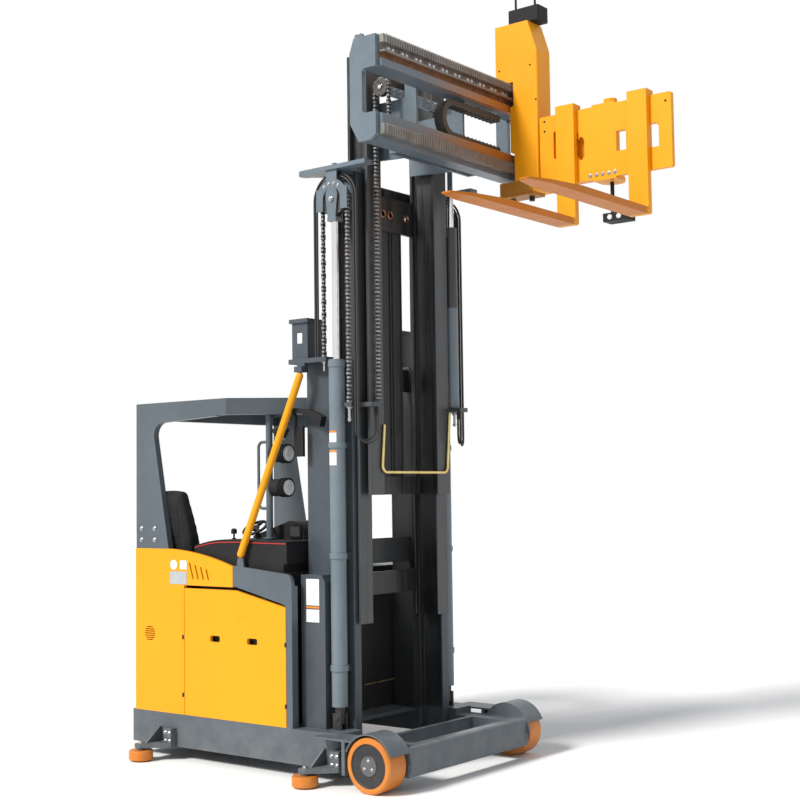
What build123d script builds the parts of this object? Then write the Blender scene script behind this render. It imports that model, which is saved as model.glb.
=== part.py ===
from build123d import *
import math
import os

os.makedirs("parts", exist_ok=True)

# Man-down turret truck: chassis with load wheels, side-seated operator's place, three-stage
# mast, traverse frame and a head whose forks swing from the right side round to the left.
# Millimetres. X runs forward to the forks, Y to the left side, Z up from the floor.
# Heights of the moving stages are those of the half-raised mast.

CLEAR = 6.0             # gap between pieces that slide past each other
PIN_FIT = 0.08          # radial clearance of a pin or axle in its bore

# Wheels and their places
AXLE_X = 380.0          # load wheel axle, forward of the origin
WHEEL_R = 150.0
WHEEL_W = 150.0
WHEEL_OUT_Y = 745.0     # outer face of the load wheels
HUB_R = 112.0
AXLE_R = 25.0
DRIVE_X = -1320.0       # steered drive wheel at the rear
DRIVE_R = 170.0
DRIVE_W = 120.0
GUIDE_Y = 790.0         # centres of the side guide rollers
GUIDE_R = 73.0
GUIDE_H = 58.0
GUIDE_Z = 8.0           # underside of the guide rollers
GUIDE_SHAFT_R = 12.0
GUIDE_X = (-1370.0, -30.0)
GUIDE_BLOCK_SHIFT = 130.0

# Chassis
REAR_X = -1610.0
TUB_FRONT_X = 100.0
TUB_NOSE = 80.0          # solid corners at the tub's front
BODY_Y = 650.0
SKIRT_Z = 80.0
DECK_Z = 277.0
DECK_T = 20.0
DECK_HOLE_R = DRIVE_R
WELL_X = -158.0         # open well in the deck for the mast
WELL_Y = 450.0
SKIRT_T = 20.0
BEAM_FRONT_X = AXLE_X + 152.0
BEAM_DEPTH = 72.0
BEAM_TOP_Z = 240.0
LEG_IN_Y = 445.0
LEG_OUT_Y = 585.0
FENDER_GAP = 12.0
FENDER_T = 8.0
CHEEK_T = 8.0
CROSSBAR_X = AXLE_X - 190.0
CROSSBAR_W = 32.0

# Rear housing, battery place and cab
HOUSING_TOP_Z = 1277.0
SEAM_X = AXLE_X - 1517.0
PANEL_T = 25.0
FLOOR_Z = 450.0
FLOOR_T = 20.0
BATTERY_TOP_Z = 930.0
CONSOLE_Z = 1190.0
CONSOLE_IN_Y = -60.0
BULKHEAD_X = AXLE_X - 730.0
BULKHEAD_T = 25.0
COVER_FRONT_X = AXLE_X - 676.0
COVER_GAP = 4.0

# Overhead guard
GUARD_TOP_Z = 2184.0
GUARD_REAR_X = AXLE_X - 1950.0
GUARD_T = 40.0

# Mast stages: front faces of the rails, rail depth, outer faces and heights
OUTER_FRONT_X = AXLE_X - 332.0
MID_FRONT_X = AXLE_X - 302.0
INNER_FRONT_X = AXLE_X - 250.0
RAIL_DEPTH = 188.0
FLANGE_T = 20.0
WEB_T = 18.0
OUTER_OUT_Y = 445.0
OUTER_TIP_Y = 386.0
MID_WEB_Y = 362.0
MID_OUT_Y = 420.0
MID_TIP_Y = 312.0
INNER_WEB_Y = 300.0
INNER_OUT_Y = 386.0
INNER_TIP_Y = 258.0
OUTER_TOP_Z = 2372.0
MID_BASE_Z = 860.0
INNER_BASE_Z = 1593.0
INNER_TOP_Z = 4190.0

# Lift cylinders beside the outer rails
CYL_X = AXLE_X - 392.0
CYL_Y = 510.0
BARREL_R = 46.0
BARREL_BASE_Z = 404.0
BARREL_TOP_Z = 2372.0
ROD_R = 21.0
SHEAVE_Z = 3300.0
SHEAVE_R = 94.0            # over the flanges
SHEAVE_TREAD_R = 84.0
SHEAVE_W = 38.0
TOP_PLATE_Z = SHEAVE_Z + 170.0
MID_TOP_Z = TOP_PLATE_Z
TOP_PLATE_T = 25.0
ANCHOR_Z = 2392.0
FRONT_ANCHOR_Z = 2120.0
HOSE_R = 7.0
HOSE_SIDES = 8
HOSE_ARCH_R = 148.0       # hoses laid over the chain sheaves
HOSE_STEP = 9.0           # half the spacing of the two hoses
HOSE_LOOP_X = 56.0        # how far the hoses' front loops reach forward and inward
HOSE_LOOP_Y = 107.0

# Free-lift cylinder on the inner stage
FREE_X = AXLE_X - 255.0
FREE_Y = 436.0
FREE_R = 38.0
FREE_BASE_Z = 2122.0
FREE_TOP_Z = 3250.0
FREE_ROD_R = 20.0
HEAD_BAR_Z = 3960.0
FREE_CHAIN_Y = -330.0
FREE_CHAIN_X = INNER_FRONT_X + 22.0
FREE_SHEAVE_R = 42.0

# Chain links: pitch and plate sizes
LINK_PITCH = 38.0
CHAIN_T = 16.0
CHAIN_W = 26.0

# Traverse frame
FRAME_FRONT_X = AXLE_X + 105.0
FRAME_REAR_X = AXLE_X - 80.0
FRAME_END_Y = 737.0
FRAME_PLATE_T = 30.0
UP_TOP_Z = 4118.0
UP_LOW_Z = 3942.0
LOW_TOP_Z = 3680.0
LOW_LOW_Z = 3531.0
RACK_OUT = 45.0
RACK_H = 60.0
RACK_PITCH = 22.0
RACK_TOOTH = 7.0
CARRIAGE_Y = 240.0

# Turret head, pivot and forks
HEAD_Y0 = 550.0
HEAD_Y1 = 710.0
HEAD_FRONT_X = AXLE_X + 332.0
HEAD_REAR_X = AXLE_X + 31.0
HEAD_TOP_Z = 4495.0
PIVOT_X = AXLE_X + 790.0
PIVOT_Y = 630.0
PIVOT_R = 30.0
ARM_R = 50.0
ARM_LOW_Z = 3450.0
ARM_TOP_Z = 3845.0
LUG_T = 25.0
LUG_R = 78.0
PLATE_FRONT_Y = 540.0
PLATE_T = 30.0
PLATE_HALF = 440.0
PLATE_LOW_Z = 3430.0
PLATE_TOP_Z = 3865.0
FORK_W = 125.0
FORK_T = 40.0
FORK_SPACING = 482.0
FORK_TOP_Z = 3900.0
FORK_LOW_Z = 3170.0
FORK_LENGTH = 1250.0


def block(x0, x1, y0, y1, z0, z1, mode=Mode.ADD):
    """A cuboid between its lower and upper corners."""
    with Locations(((x0 + x1) / 2, (y0 + y1) / 2, (z0 + z1) / 2)):
        Box(x1 - x0, y1 - y0, z1 - z0, mode=mode)


def side_plate(points, y0, y1, mode=Mode.ADD):
    """A flat shape in X and Z, thick from y0 to y1."""
    with BuildSketch(Plane.XZ.offset(-y1)) as outline:
        with BuildLine() as rim:
            Polyline(*points, close=True)
        make_face(rim.edges())
    extrude(outline.sketch, amount=y1 - y0, dir=(0, -1, 0), mode=mode)


def flat_plate(points, z0, z1, mode=Mode.ADD):
    """A flat shape in X and Y, thick from z0 to z1."""
    with BuildSketch(Plane.XY.offset(z0)) as outline:
        with BuildLine() as rim:
            Polyline(*points, close=True)
        make_face(rim.edges())
    extrude(outline.sketch, amount=z1 - z0, dir=(0, 0, 1), mode=mode)


def upright(x, y, z0, z1, radius, mode=Mode.ADD):
    """A round bar standing from z0 to z1."""
    with Locations((x, y, (z0 + z1) / 2)):
        Cylinder(radius, z1 - z0, mode=mode)


def cross_bar(x, z, y0, y1, radius, mode=Mode.ADD):
    """A round bar lying along Y."""
    with Locations((x, (y0 + y1) / 2, z)):
        Cylinder(radius, y1 - y0, rotation=(90, 0, 0), mode=mode)


def tube_between(start, end, radius):
    """A round bar from one point to another."""
    axis = Vector(*end) - Vector(*start)
    with BuildSketch(Plane(origin=start, z_dir=axis)) as ring:
        Circle(radius)
    extrude(ring.sketch, amount=axis.length, dir=axis)


def bent_pipe(points, radius, bend):
    """A pipe along straight runs joined by round bends."""
    with BuildLine() as route:
        FilletPolyline(*points, radius=bend)
    with BuildSketch(Plane(origin=route.line @ 0, z_dir=route.line % 0)) as ring:
        Circle(radius)
    sweep(ring.sketch, path=route.line)


def bent_hose(points, bend):
    """A hose of the plain eight-sided section, along runs joined by round bends."""
    with BuildLine() as route:
        FilletPolyline(*points, radius=bend)
    with BuildSketch(Plane(origin=route.line @ 0, x_dir=(1, 0, 0), z_dir=route.line % 0)) as ring:
        RegularPolygon(HOSE_R, HOSE_SIDES)
    sweep(ring.sketch, path=route.line)


def straight_hose(x, y, z0, z1):
    with BuildSketch(Plane.XY.offset(z0)) as ring:
        with Locations((x, y)):
            RegularPolygon(HOSE_R, HOSE_SIDES)
    extrude(ring.sketch, amount=z1 - z0, dir=(0, 0, 1))


def rail(side, front_x, web_y, rear_y, front_y, z0, z1):
    """A rolled mast rail: web and two flanges, each between two distances from the middle."""
    rear_x = front_x - RAIL_DEPTH
    with BuildSketch(Plane.XY.offset(z0)) as section:
        for x0, x1, (y_in, y_out) in ((rear_x, front_x, web_y), (rear_x, rear_x + FLANGE_T, rear_y),
                                      (front_x - FLANGE_T, front_x, front_y)):
            with Locations(((x0 + x1) / 2, side * (y_in + y_out) / 2)):
                Rectangle(x1 - x0, y_out - y_in)
        fillet(section.vertices(), 4)
    extrude(section.sketch, amount=z1 - z0, dir=(0, 0, 1))


def chain_run(x, y, z0, z1):
    """A leaf chain: wide and narrow link plates in turn round a flat core."""
    count = max(2, round((z1 - z0) / LINK_PITCH))
    pitch = (z1 - z0) / count
    block(x - CHAIN_T / 4, x + CHAIN_T / 4, y - CHAIN_W / 2 + 6, y + CHAIN_W / 2 - 6, z0, z1)
    for first, width in ((0, CHAIN_W), (1, CHAIN_W - 8)):
        with BuildSketch(Plane.XZ.offset(-y - width / 2)) as plates:
            with Locations(*[(x, z0 + (index + 0.5) * pitch) for index in range(first, count, 2)]):
                Rectangle(CHAIN_T, pitch - 4)
        extrude(plates.sketch, amount=width, dir=(0, -1, 0))


def save(builder, name):
    builder.part.label = name
    export_step(builder.part, f"parts/{name}.step")


def cut_at(solids, axis, place):
    """Solids cut in two wherever the plane across an axis passes through them."""
    normal = {"X": (1, 0, 0), "Y": (0, 1, 0), "Z": (0, 0, 1)}[axis]
    plane = Plane(origin=tuple(place * part for part in normal), z_dir=normal)
    cut = []
    for solid in solids:
        box = solid.bounding_box()
        if getattr(box.min, axis) < place - 0.5 and getattr(box.max, axis) > place + 0.5:
            for keep in (Keep.TOP, Keep.BOTTOM):
                cut += split(solid, bisect_by=plane, keep=keep).solids()
        else:
            cut.append(solid)
    return cut


# Chassis frame: a tub with its deck, two legs beside the load wheels and the front cross beam
with BuildPart() as base_frame:
    block(REAR_X, TUB_FRONT_X, -BODY_Y, BODY_Y, SKIRT_Z, DECK_Z)
    fillet(base_frame.edges().filter_by(Axis.Z).group_by(Axis.X)[-1], 60)
    fillet(base_frame.edges().filter_by(Axis.Z).group_by(Axis.X)[0], 15)
    block(REAR_X + SKIRT_T, TUB_FRONT_X - TUB_NOSE, -BODY_Y + SKIRT_T, BODY_Y - SKIRT_T,
          SKIRT_Z, DECK_Z - DECK_T, Mode.SUBTRACT)
    upright(DRIVE_X, 0, DECK_Z - DECK_T, DECK_Z, DECK_HOLE_R, Mode.SUBTRACT)
    # well in the deck where the mast stands
    block(WELL_X, TUB_FRONT_X, -WELL_Y, WELL_Y, SKIRT_Z, DECK_Z, Mode.SUBTRACT)
    for side in (-1, 1):
        low_y, high_y = sorted((side * LEG_IN_Y, side * LEG_OUT_Y))
        block(TUB_FRONT_X - 20, BEAM_FRONT_X, low_y, high_y, SKIRT_Z, BEAM_TOP_Z)
    block(BEAM_FRONT_X - BEAM_DEPTH, BEAM_FRONT_X, -LEG_OUT_Y, LEG_OUT_Y, SKIRT_Z, BEAM_TOP_Z)
    block(CROSSBAR_X, CROSSBAR_X + CROSSBAR_W, -LEG_IN_Y, LEG_IN_Y, SKIRT_Z, BEAM_TOP_Z)
    front_top = base_frame.edges().filter_by(Axis.Y).group_by(Axis.X)[-1].sort_by(Axis.Z)[-1]
    fillet(front_top, 22)
    fender_r = WHEEL_R + FENDER_GAP
    for side in (-1, 1):
        in_y, out_y = sorted((side * (LEG_OUT_Y - CHEEK_T), side * LEG_OUT_Y))
        # arched inner cheek beside the wheel
        with BuildSketch(Plane.XZ.offset(-out_y)):
            with Locations((AXLE_X, WHEEL_R)):
                Circle(fender_r + FENDER_T)
                Rectangle(2 * fender_r, 400, align=(Align.CENTER, Align.MAX), mode=Mode.SUBTRACT)
        extrude(amount=out_y - in_y)
        # curved mudguard over the wheel, running back into a step plate
        in_y, out_y = sorted((side * (LEG_OUT_Y - 4), side * WHEEL_OUT_Y))
        with BuildSketch(Plane.XZ.offset(-out_y)):
            with Locations((AXLE_X, WHEEL_R)):
                Circle(fender_r + FENDER_T)
                Circle(fender_r, mode=Mode.SUBTRACT)
            with BuildLine():
                Polyline((AXLE_X, WHEEL_R), (AXLE_X + 500, WHEEL_R + 200), (AXLE_X + 500, WHEEL_R + 500),
                         (AXLE_X - 300, WHEEL_R + 500), (AXLE_X - 300, DECK_Z - 8), close=True)
            make_face(mode=Mode.INTERSECT)
        extrude(amount=out_y - in_y)
        step_end_x = AXLE_X - fender_r * math.cos(math.asin((DECK_Z - 12 - WHEEL_R) / fender_r))
        block(TUB_FRONT_X - 110, step_end_x, in_y, out_y, DECK_Z - 14, DECK_Z - 4)
        # upright mud flap plate behind the wheel
        block(AXLE_X - WHEEL_R - 34, AXLE_X - WHEEL_R - 12, in_y, out_y, SKIRT_Z + 4, DECK_Z - 10)
        # axle stub
        stub_0, stub_1 = sorted((side * (LEG_OUT_Y - 4), side * (WHEEL_OUT_Y - 25)))
        cross_bar(AXLE_X, WHEEL_R, stub_0, stub_1, AXLE_R)
# it is welded from plates and beams, each a solid of its own
halves = cut_at(base_frame.part.solids(), "X", TUB_FRONT_X)
tub = cut_at([half for half in halves if half.center().X < TUB_FRONT_X], "Z", DECK_Z - DECK_T)
deck = [plate for plate in tub if plate.center().Z > DECK_Z - DECK_T]
skirts = [plate for plate in tub if plate.center().Z < DECK_Z - DECK_T]
skirts = cut_at(cut_at(skirts, "X", REAR_X + SKIRT_T), "X", TUB_FRONT_X - TUB_NOSE)
front = [half for half in halves if half.center().X > TUB_FRONT_X]
for side in (-1, 1):
    front = cut_at(front, "Y", side * (LEG_OUT_Y - CHEEK_T))
inner = [plate for plate in front if abs(plate.center().Y) < LEG_OUT_Y - CHEEK_T]
outer = [plate for plate in front if abs(plate.center().Y) > LEG_OUT_Y - CHEEK_T]
inner = cut_at(inner, "X", BEAM_FRONT_X - BEAM_DEPTH)
beam = [plate for plate in inner if plate.center().X > BEAM_FRONT_X - BEAM_DEPTH]
legs = [plate for plate in inner if plate.center().X < BEAM_FRONT_X - BEAM_DEPTH]
for side in (-1, 1):
    legs = cut_at(legs, "Y", side * LEG_IN_Y)
    outer = cut_at(outer, "Y", side * LEG_OUT_Y)
frame_plates = Compound(deck + skirts + beam + legs + outer)
frame_plates.label = "base_frame"
export_step(frame_plates, "parts/base_frame.step")

# Load wheels: tyre band of polyurethane on a dished disc with a cap over the axle
for name, side in (("load_wheel_right", -1), ("load_wheel_left", 1)):
    with BuildPart() as load_wheel:
        with BuildSketch(Plane.XY):
            with BuildLine():
                Polyline((0, WHEEL_W / 2 - 22), (AXLE_R + PIN_FIT, WHEEL_W / 2 - 22),
                         (AXLE_R + PIN_FIT, -WHEEL_W / 2), (HUB_R, -WHEEL_W / 2),
                         (WHEEL_R - 10, -WHEEL_W / 2), (WHEEL_R, -WHEEL_W / 2 + 10),
                         (WHEEL_R, WHEEL_W / 2 - 10), (WHEEL_R - 10, WHEEL_W / 2),
                         (HUB_R + 8, WHEEL_W / 2), (HUB_R, WHEEL_W / 2 - 10),
                         (58, WHEEL_W / 2 - 10), (52, WHEEL_W / 2 - 3), (0, WHEEL_W / 2 - 3), close=True)
            make_face()
        revolve(axis=Axis.Y)
        if side < 0:
            mirror(about=Plane.XZ, mode=Mode.REPLACE)
    load_wheel.part.label = name
    wheel_place = Pos(AXLE_X, side * (WHEEL_OUT_Y - WHEEL_W / 2), WHEEL_R)
    placed = wheel_place * load_wheel.part
    placed.label = name
    export_step(placed, f"parts/{name}.step")

# Side guide rollers on gusseted arms bolted to the skirts
GUIDE_PLACES = [(end, side, x, sign)
                for end, x in (("rear", GUIDE_X[0]), ("front", GUIDE_X[1]))
                for side, sign in (("right", -1), ("left", 1))]
for end, side, x, sign in GUIDE_PLACES:
    with BuildPart() as roller:
        with BuildSketch(Plane.XY.offset(GUIDE_Z)):
            with Locations((x, sign * GUIDE_Y)):
                Circle(GUIDE_R)
                Circle(GUIDE_SHAFT_R + PIN_FIT, mode=Mode.SUBTRACT)
        extrude(amount=GUIDE_H)
        chamfer(roller.edges().filter_by(GeomType.CIRCLE).sort_by(SortBy.RADIUS)[-2:], 5)
    save(roller, f"guide_roller_{end}_{side}")

with BuildPart() as guide_brackets:
    for end, side, x, sign in GUIDE_PLACES:
        block_x = x + GUIDE_BLOCK_SHIFT
        y_in, y_out = sorted((sign * BODY_Y, sign * (BODY_Y + 45)))
        block(block_x - 32, block_x + 32, y_in, y_out, SKIRT_Z + 10, SKIRT_Z + 112)
        arm_z = GUIDE_Z + GUIDE_H + 14
        flat_plate([(x - 24, sign * (GUIDE_Y + 30)), (x + 24, sign * (GUIDE_Y + 30)),
                    (block_x + 32, sign * (BODY_Y + 45)), (block_x + 32, sign * BODY_Y),
                    (x - 24, sign * BODY_Y)], arm_z, arm_z + 26)
        gusset_y0, gusset_y1 = sorted((sign * (BODY_Y + 2), sign * (BODY_Y + 90)))
        with BuildSketch(Plane.YZ.offset(x + 20)):
            with BuildLine():
                Polyline((sign * BODY_Y, arm_z + 20), (sign * (GUIDE_Y - 5), arm_z + 20),
                         (sign * (BODY_Y + 14), SKIRT_Z + 112), (sign * BODY_Y, SKIRT_Z + 112), close=True)
            make_face()
        extrude(amount=12)
        upright(x, sign * GUIDE_Y, GUIDE_Z + 3, arm_z + 4, GUIDE_SHAFT_R)
        upright(x, sign * GUIDE_Y, GUIDE_Z + GUIDE_H + 2, arm_z + 4, GUIDE_SHAFT_R + 14)
save(guide_brackets, "guide_brackets")

# Drive unit: turntable with a flat motor and two cheeks, steering about a vertical axis
DRIVE_CHEEK_Y = DRIVE_W / 2 + 8
DRIVE_TOP_Z = FLOOR_Z - FLOOR_T - 10
with BuildPart() as drive_unit:
    upright(DRIVE_X, 0, DECK_Z + 0.3, DECK_Z + 42, DECK_HOLE_R + 14)
    upright(DRIVE_X, 0, DECK_Z + 40, DRIVE_TOP_Z, 118)
    for side in (-1, 1):
        y0, y1 = sorted((side * DRIVE_CHEEK_Y, side * (DRIVE_CHEEK_Y + 22)))
        side_plate([(DRIVE_X - 90, DECK_Z + 20), (DRIVE_X + 90, DECK_Z + 20), (DRIVE_X + 45, DRIVE_R - 45),
                    (DRIVE_X - 45, DRIVE_R - 45)], y0, y1)
    cross_bar(DRIVE_X, DRIVE_R, -DRIVE_W / 2 - 6, DRIVE_W / 2 + 6, DRIVE_R + 12, Mode.SUBTRACT)
    cross_bar(DRIVE_X, DRIVE_R, -DRIVE_CHEEK_Y - 10, DRIVE_CHEEK_Y + 10, AXLE_R)
save(drive_unit, "drive_unit")

with BuildPart() as drive_wheel:
    cross_bar(DRIVE_X, DRIVE_R, -DRIVE_W / 2, DRIVE_W / 2, DRIVE_R)
    chamfer(drive_wheel.edges().filter_by(GeomType.CIRCLE), 8)
    cross_bar(DRIVE_X, DRIVE_R, -DRIVE_W / 2, DRIVE_W / 2, AXLE_R + PIN_FIT, Mode.SUBTRACT)
save(drive_wheel, "drive_wheel")

# Rear housing: a yellow shell round the drive compartment, with vents in its right side
HOUSING_X0 = REAR_X + 20
HOUSING_X1 = AXLE_X - 1100
LEFT_WING_X = HOUSING_X0 + 190
VENTS = [(0, 106), (46, 94), (92, 82), (138, 70)]          # shift along X, length
VENT_X = AXLE_X - 1452
VENT_LOW_Z = 1092
GRILLE_X = AXLE_X - 1825
GRILLE_Z = 752
with BuildPart() as rear_housing:
    with BuildSketch(Plane.XZ.offset(BODY_Y - PANEL_T)):
        with BuildLine():
            Polyline((HOUSING_X0 + 330, HOUSING_TOP_Z), (HOUSING_X0, HOUSING_TOP_Z), (HOUSING_X0, DECK_Z),
                     (SEAM_X, DECK_Z), (SEAM_X, 1058), (HOUSING_X1, 1058), (HOUSING_X1, 1178))
            ThreePointArc((HOUSING_X1, 1178), (HOUSING_X1 - 270, 1246), (HOUSING_X0 + 330, HOUSING_TOP_Z))
        make_face()
    extrude(amount=PANEL_T)
    block(HOUSING_X0, HOUSING_X0 + PANEL_T, -BODY_Y, BODY_Y, DECK_Z, HOUSING_TOP_Z)
    block(HOUSING_X0, HOUSING_X0 + 70, -BODY_Y, BODY_Y, HOUSING_TOP_Z - PANEL_T, HOUSING_TOP_Z)
    side_plate([(HOUSING_X0, DECK_Z), (SEAM_X, DECK_Z), (SEAM_X, FLOOR_Z), (LEFT_WING_X + 40, FLOOR_Z),
                (LEFT_WING_X, FLOOR_Z + 120), (LEFT_WING_X, HOUSING_TOP_Z - 60),
                (LEFT_WING_X - 60, HOUSING_TOP_Z), (HOUSING_X0, HOUSING_TOP_Z)], BODY_Y - PANEL_T, BODY_Y)
    fillet(rear_housing.edges().filter_by(Axis.Z).group_by(Axis.X)[0], 20)
    for shift, length in VENTS:
        with BuildSketch(Plane.XZ.offset(BODY_Y)):
            with Locations((VENT_X + shift, VENT_LOW_Z + length / 2)):
                SlotOverall(length, 11, rotation=108)
        extrude(amount=-PANEL_T, mode=Mode.SUBTRACT)
    for row in range(-3, 4):
        reach = math.sqrt(48 ** 2 - (13 * row) ** 2)
        with BuildSketch(Plane.XZ.offset(BODY_Y)):
            with Locations((GRILLE_X, GRILLE_Z + 13 * row)):
                SlotOverall(2 * reach, 6)
        extrude(amount=-PANEL_T, mode=Mode.SUBTRACT)
save(rear_housing, "rear_housing")

# Lift-off battery covers with two hand slots
COVER_SEAM_X = SEAM_X + COVER_GAP
COVER_BASE_Z = DECK_Z + 0.3
HAND_SLOTS = (AXLE_X - 1250, AXLE_X - 943)
with BuildPart() as battery_cover_right:
    side_plate([(COVER_SEAM_X, COVER_BASE_Z), (COVER_FRONT_X, COVER_BASE_Z), (COVER_FRONT_X, 955),
                (AXLE_X - 1080, 1040), (COVER_SEAM_X, 1040)], -BODY_Y, -BODY_Y + PANEL_T - 2)
    for slot_x in HAND_SLOTS:
        with BuildSketch(Plane.XZ.offset(BODY_Y)):
            with Locations((slot_x, 747)):
                RectangleRounded(82, 38, 12)
        extrude(amount=-PANEL_T, mode=Mode.SUBTRACT)
save(battery_cover_right, "battery_cover_right")

with BuildPart() as battery_cover_left:
    block(COVER_SEAM_X, COVER_FRONT_X, BODY_Y - PANEL_T + 2, BODY_Y, COVER_BASE_Z, FLOOR_Z - COVER_GAP)
    for slot_x in HAND_SLOTS:
        with BuildSketch(Plane.XZ.offset(-BODY_Y)):
            with Locations((slot_x, (COVER_BASE_Z + FLOOR_Z) / 2)):
                RectangleRounded(82, 38, 12)
        extrude(amount=PANEL_T, mode=Mode.SUBTRACT)
save(battery_cover_left, "battery_cover_left")

# Battery as one plain block on the deck
with BuildPart() as battery:
    block(SEAM_X + 30, BULKHEAD_X - 30, -BODY_Y + PANEL_T + 15, CONSOLE_IN_Y - 5, DECK_Z, BATTERY_TOP_Z)
save(battery, "battery")

# Cab shell: right flank, bulkhead, floor, inner battery wall, seat platform and left cowl
FLANK_X0 = HOUSING_X1 + 3
FLANK_X1 = AXLE_X - 627
BULKHEAD_FRONT_X = BULKHEAD_X + BULKHEAD_T
PLATFORM_Z = 1000
COWL_X = AXLE_X - 1060
COWL_Y = 330
COWL_TOP_Z = 1150
SHEET = 20
STAY_Y = BODY_Y - 10
with BuildPart() as cab_shell:
    with BuildSketch(Plane.XZ.offset(BODY_Y - PANEL_T)):
        with BuildLine():
            FilletPolyline((FLANK_X0, 1062), (FLANK_X0, 1186), (FLANK_X1, 1142), (FLANK_X1, DECK_Z),
                           (COVER_FRONT_X + COVER_GAP, DECK_Z), (COVER_FRONT_X + COVER_GAP, 968),
                           (AXLE_X - 1078, 1062), radius=[10, 50, 2, 2, 20])
            Line((AXLE_X - 1078, 1062), (FLANK_X0, 1062))
        make_face()
    extrude(amount=PANEL_T)
    block(BULKHEAD_X, BULKHEAD_FRONT_X, -BODY_Y + PANEL_T, BODY_Y - PANEL_T, DECK_Z, COWL_TOP_Z)
    block(BULKHEAD_X, BULKHEAD_FRONT_X, BODY_Y - PANEL_T, BODY_Y, FLOOR_Z, COWL_TOP_Z)
    block(BULKHEAD_X, FLANK_X1, -BODY_Y + PANEL_T, -BODY_Y + 2 * PANEL_T, DECK_Z, 1080)
    block(HOUSING_X0 + PANEL_T, BULKHEAD_X, CONSOLE_IN_Y, BODY_Y - PANEL_T, FLOOR_Z - FLOOR_T, FLOOR_Z)
    block(SEAM_X, BULKHEAD_X, CONSOLE_IN_Y, CONSOLE_IN_Y + SHEET, DECK_Z, PLATFORM_Z)
    block(HOUSING_X0 + PANEL_T, SEAM_X, CONSOLE_IN_Y, CONSOLE_IN_Y + SHEET, FLOOR_Z - FLOOR_T, PLATFORM_Z)
    block(HOUSING_X0 + PANEL_T, SEAM_X, -BODY_Y + PANEL_T, CONSOLE_IN_Y + SHEET,
          PLATFORM_Z - SHEET, PLATFORM_Z)
    block(SEAM_X - SHEET, SEAM_X, -BODY_Y + PANEL_T, CONSOLE_IN_Y + SHEET, FLOOR_Z - FLOOR_T, PLATFORM_Z)
    # hollow left cowl with a sloping top
    side_plate([(COWL_X, FLOOR_Z), (BULKHEAD_X, FLOOR_Z), (BULKHEAD_X, COWL_TOP_Z),
                (COWL_X + 60, COWL_TOP_Z), (COWL_X, COWL_TOP_Z - 90)], COWL_Y, BODY_Y)
    block(COWL_X + SHEET, BULKHEAD_X, COWL_Y + SHEET, BODY_Y - SHEET, FLOOR_Z, COWL_TOP_Z - 110, Mode.SUBTRACT)
    # lug that holds the lower end of the stay
    side_plate([(AXLE_X - 1075, 1150), (AXLE_X - 1005, 1150), (AXLE_X - 1020, 1232), (AXLE_X - 1060, 1232)],
               -STAY_Y - 7, -STAY_Y + 7)
save(cab_shell, "cab_shell")

# Dark moulded console over the battery, with a raised hood at its front
CONSOLE_X0 = SEAM_X + 48
CONSOLE_X1 = BULKHEAD_FRONT_X
CONSOLE_TOP_Z = 1338
HOOD_Y = -350
CONSOLE_OUT_Y = BODY_Y - PANEL_T - 19
KNOB_PLACE = (AXLE_X - 1236, -500)
with BuildPart() as console:
    with BuildSketch(Plane.XZ.offset(-CONSOLE_IN_Y)):
        with BuildLine():
            Polyline((CONSOLE_X1, CONSOLE_TOP_Z - 8), (CONSOLE_X1, COWL_TOP_Z + 50), (CONSOLE_X0 + 60, COWL_TOP_Z + 30),
                     (CONSOLE_X0, COWL_TOP_Z + 70), (CONSOLE_X0, 1296))
            ThreePointArc((CONSOLE_X0, 1296), (CONSOLE_X0 + 130, 1326), (CONSOLE_X0 + 300, CONSOLE_TOP_Z))
            Line((CONSOLE_X0 + 300, CONSOLE_TOP_Z), (CONSOLE_X1, CONSOLE_TOP_Z - 8))
        make_face()
    extrude(amount=CONSOLE_OUT_Y + CONSOLE_IN_Y)
    upright(*KNOB_PLACE, COWL_TOP_Z + 90, CONSOLE_TOP_Z + 4, 14)
    block(CONSOLE_X0 + 60, BULKHEAD_X, -CONSOLE_OUT_Y, CONSOLE_IN_Y, PLATFORM_Z, COWL_TOP_Z + 50)
    with BuildSketch(Plane.XZ.offset(-CONSOLE_IN_Y)):
        with BuildLine():
            Polyline((AXLE_X - 800, CONSOLE_TOP_Z - 10), (AXLE_X - 1220, CONSOLE_TOP_Z - 10),
                     (AXLE_X - 1220, CONSOLE_TOP_Z + 14), (AXLE_X - 950, 1432))
            ThreePointArc((AXLE_X - 950, 1432), (AXLE_X - 850, 1428), (AXLE_X - 800, CONSOLE_TOP_Z - 10))
        make_face()
    extrude(amount=CONSOLE_IN_Y - HOOD_Y)
save(console, "console")

# Controls: steering wheel with its column, a lever knob and a blank display
WHEEL_CENTRE = (AXLE_X - 1112, -440, CONSOLE_TOP_Z + 58)
WHEEL_TILT = (0, -0.5, 0.866)
with BuildPart() as steering_wheel:
    with BuildSketch(Plane(origin=WHEEL_CENTRE, x_dir=(1, 0, 0), z_dir=WHEEL_TILT)):
        Circle(84)
        Circle(68, mode=Mode.SUBTRACT)
        Circle(26)
        with PolarLocations(45, 3, start_angle=90):
            Rectangle(60, 16)
    extrude(amount=14)
    chamfer(steering_wheel.edges().filter_by(GeomType.CIRCLE).sort_by(SortBy.RADIUS)[-2:], 4)
    tube_between((WHEEL_CENTRE[0], WHEEL_CENTRE[1] + 26, CONSOLE_TOP_Z + 6.1), WHEEL_CENTRE, 15)
save(steering_wheel, "steering_wheel")

with BuildPart() as lever_knob:
    upright(*KNOB_PLACE, CONSOLE_TOP_Z + 4, CONSOLE_TOP_Z + 32, 6)
    upright(*KNOB_PLACE, CONSOLE_TOP_Z + 30, CONSOLE_TOP_Z + 62, 18)
    chamfer(lever_knob.edges().filter_by(GeomType.CIRCLE).group_by(Axis.Z)[-1], 7)
save(lever_knob, "lever_knob")

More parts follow.
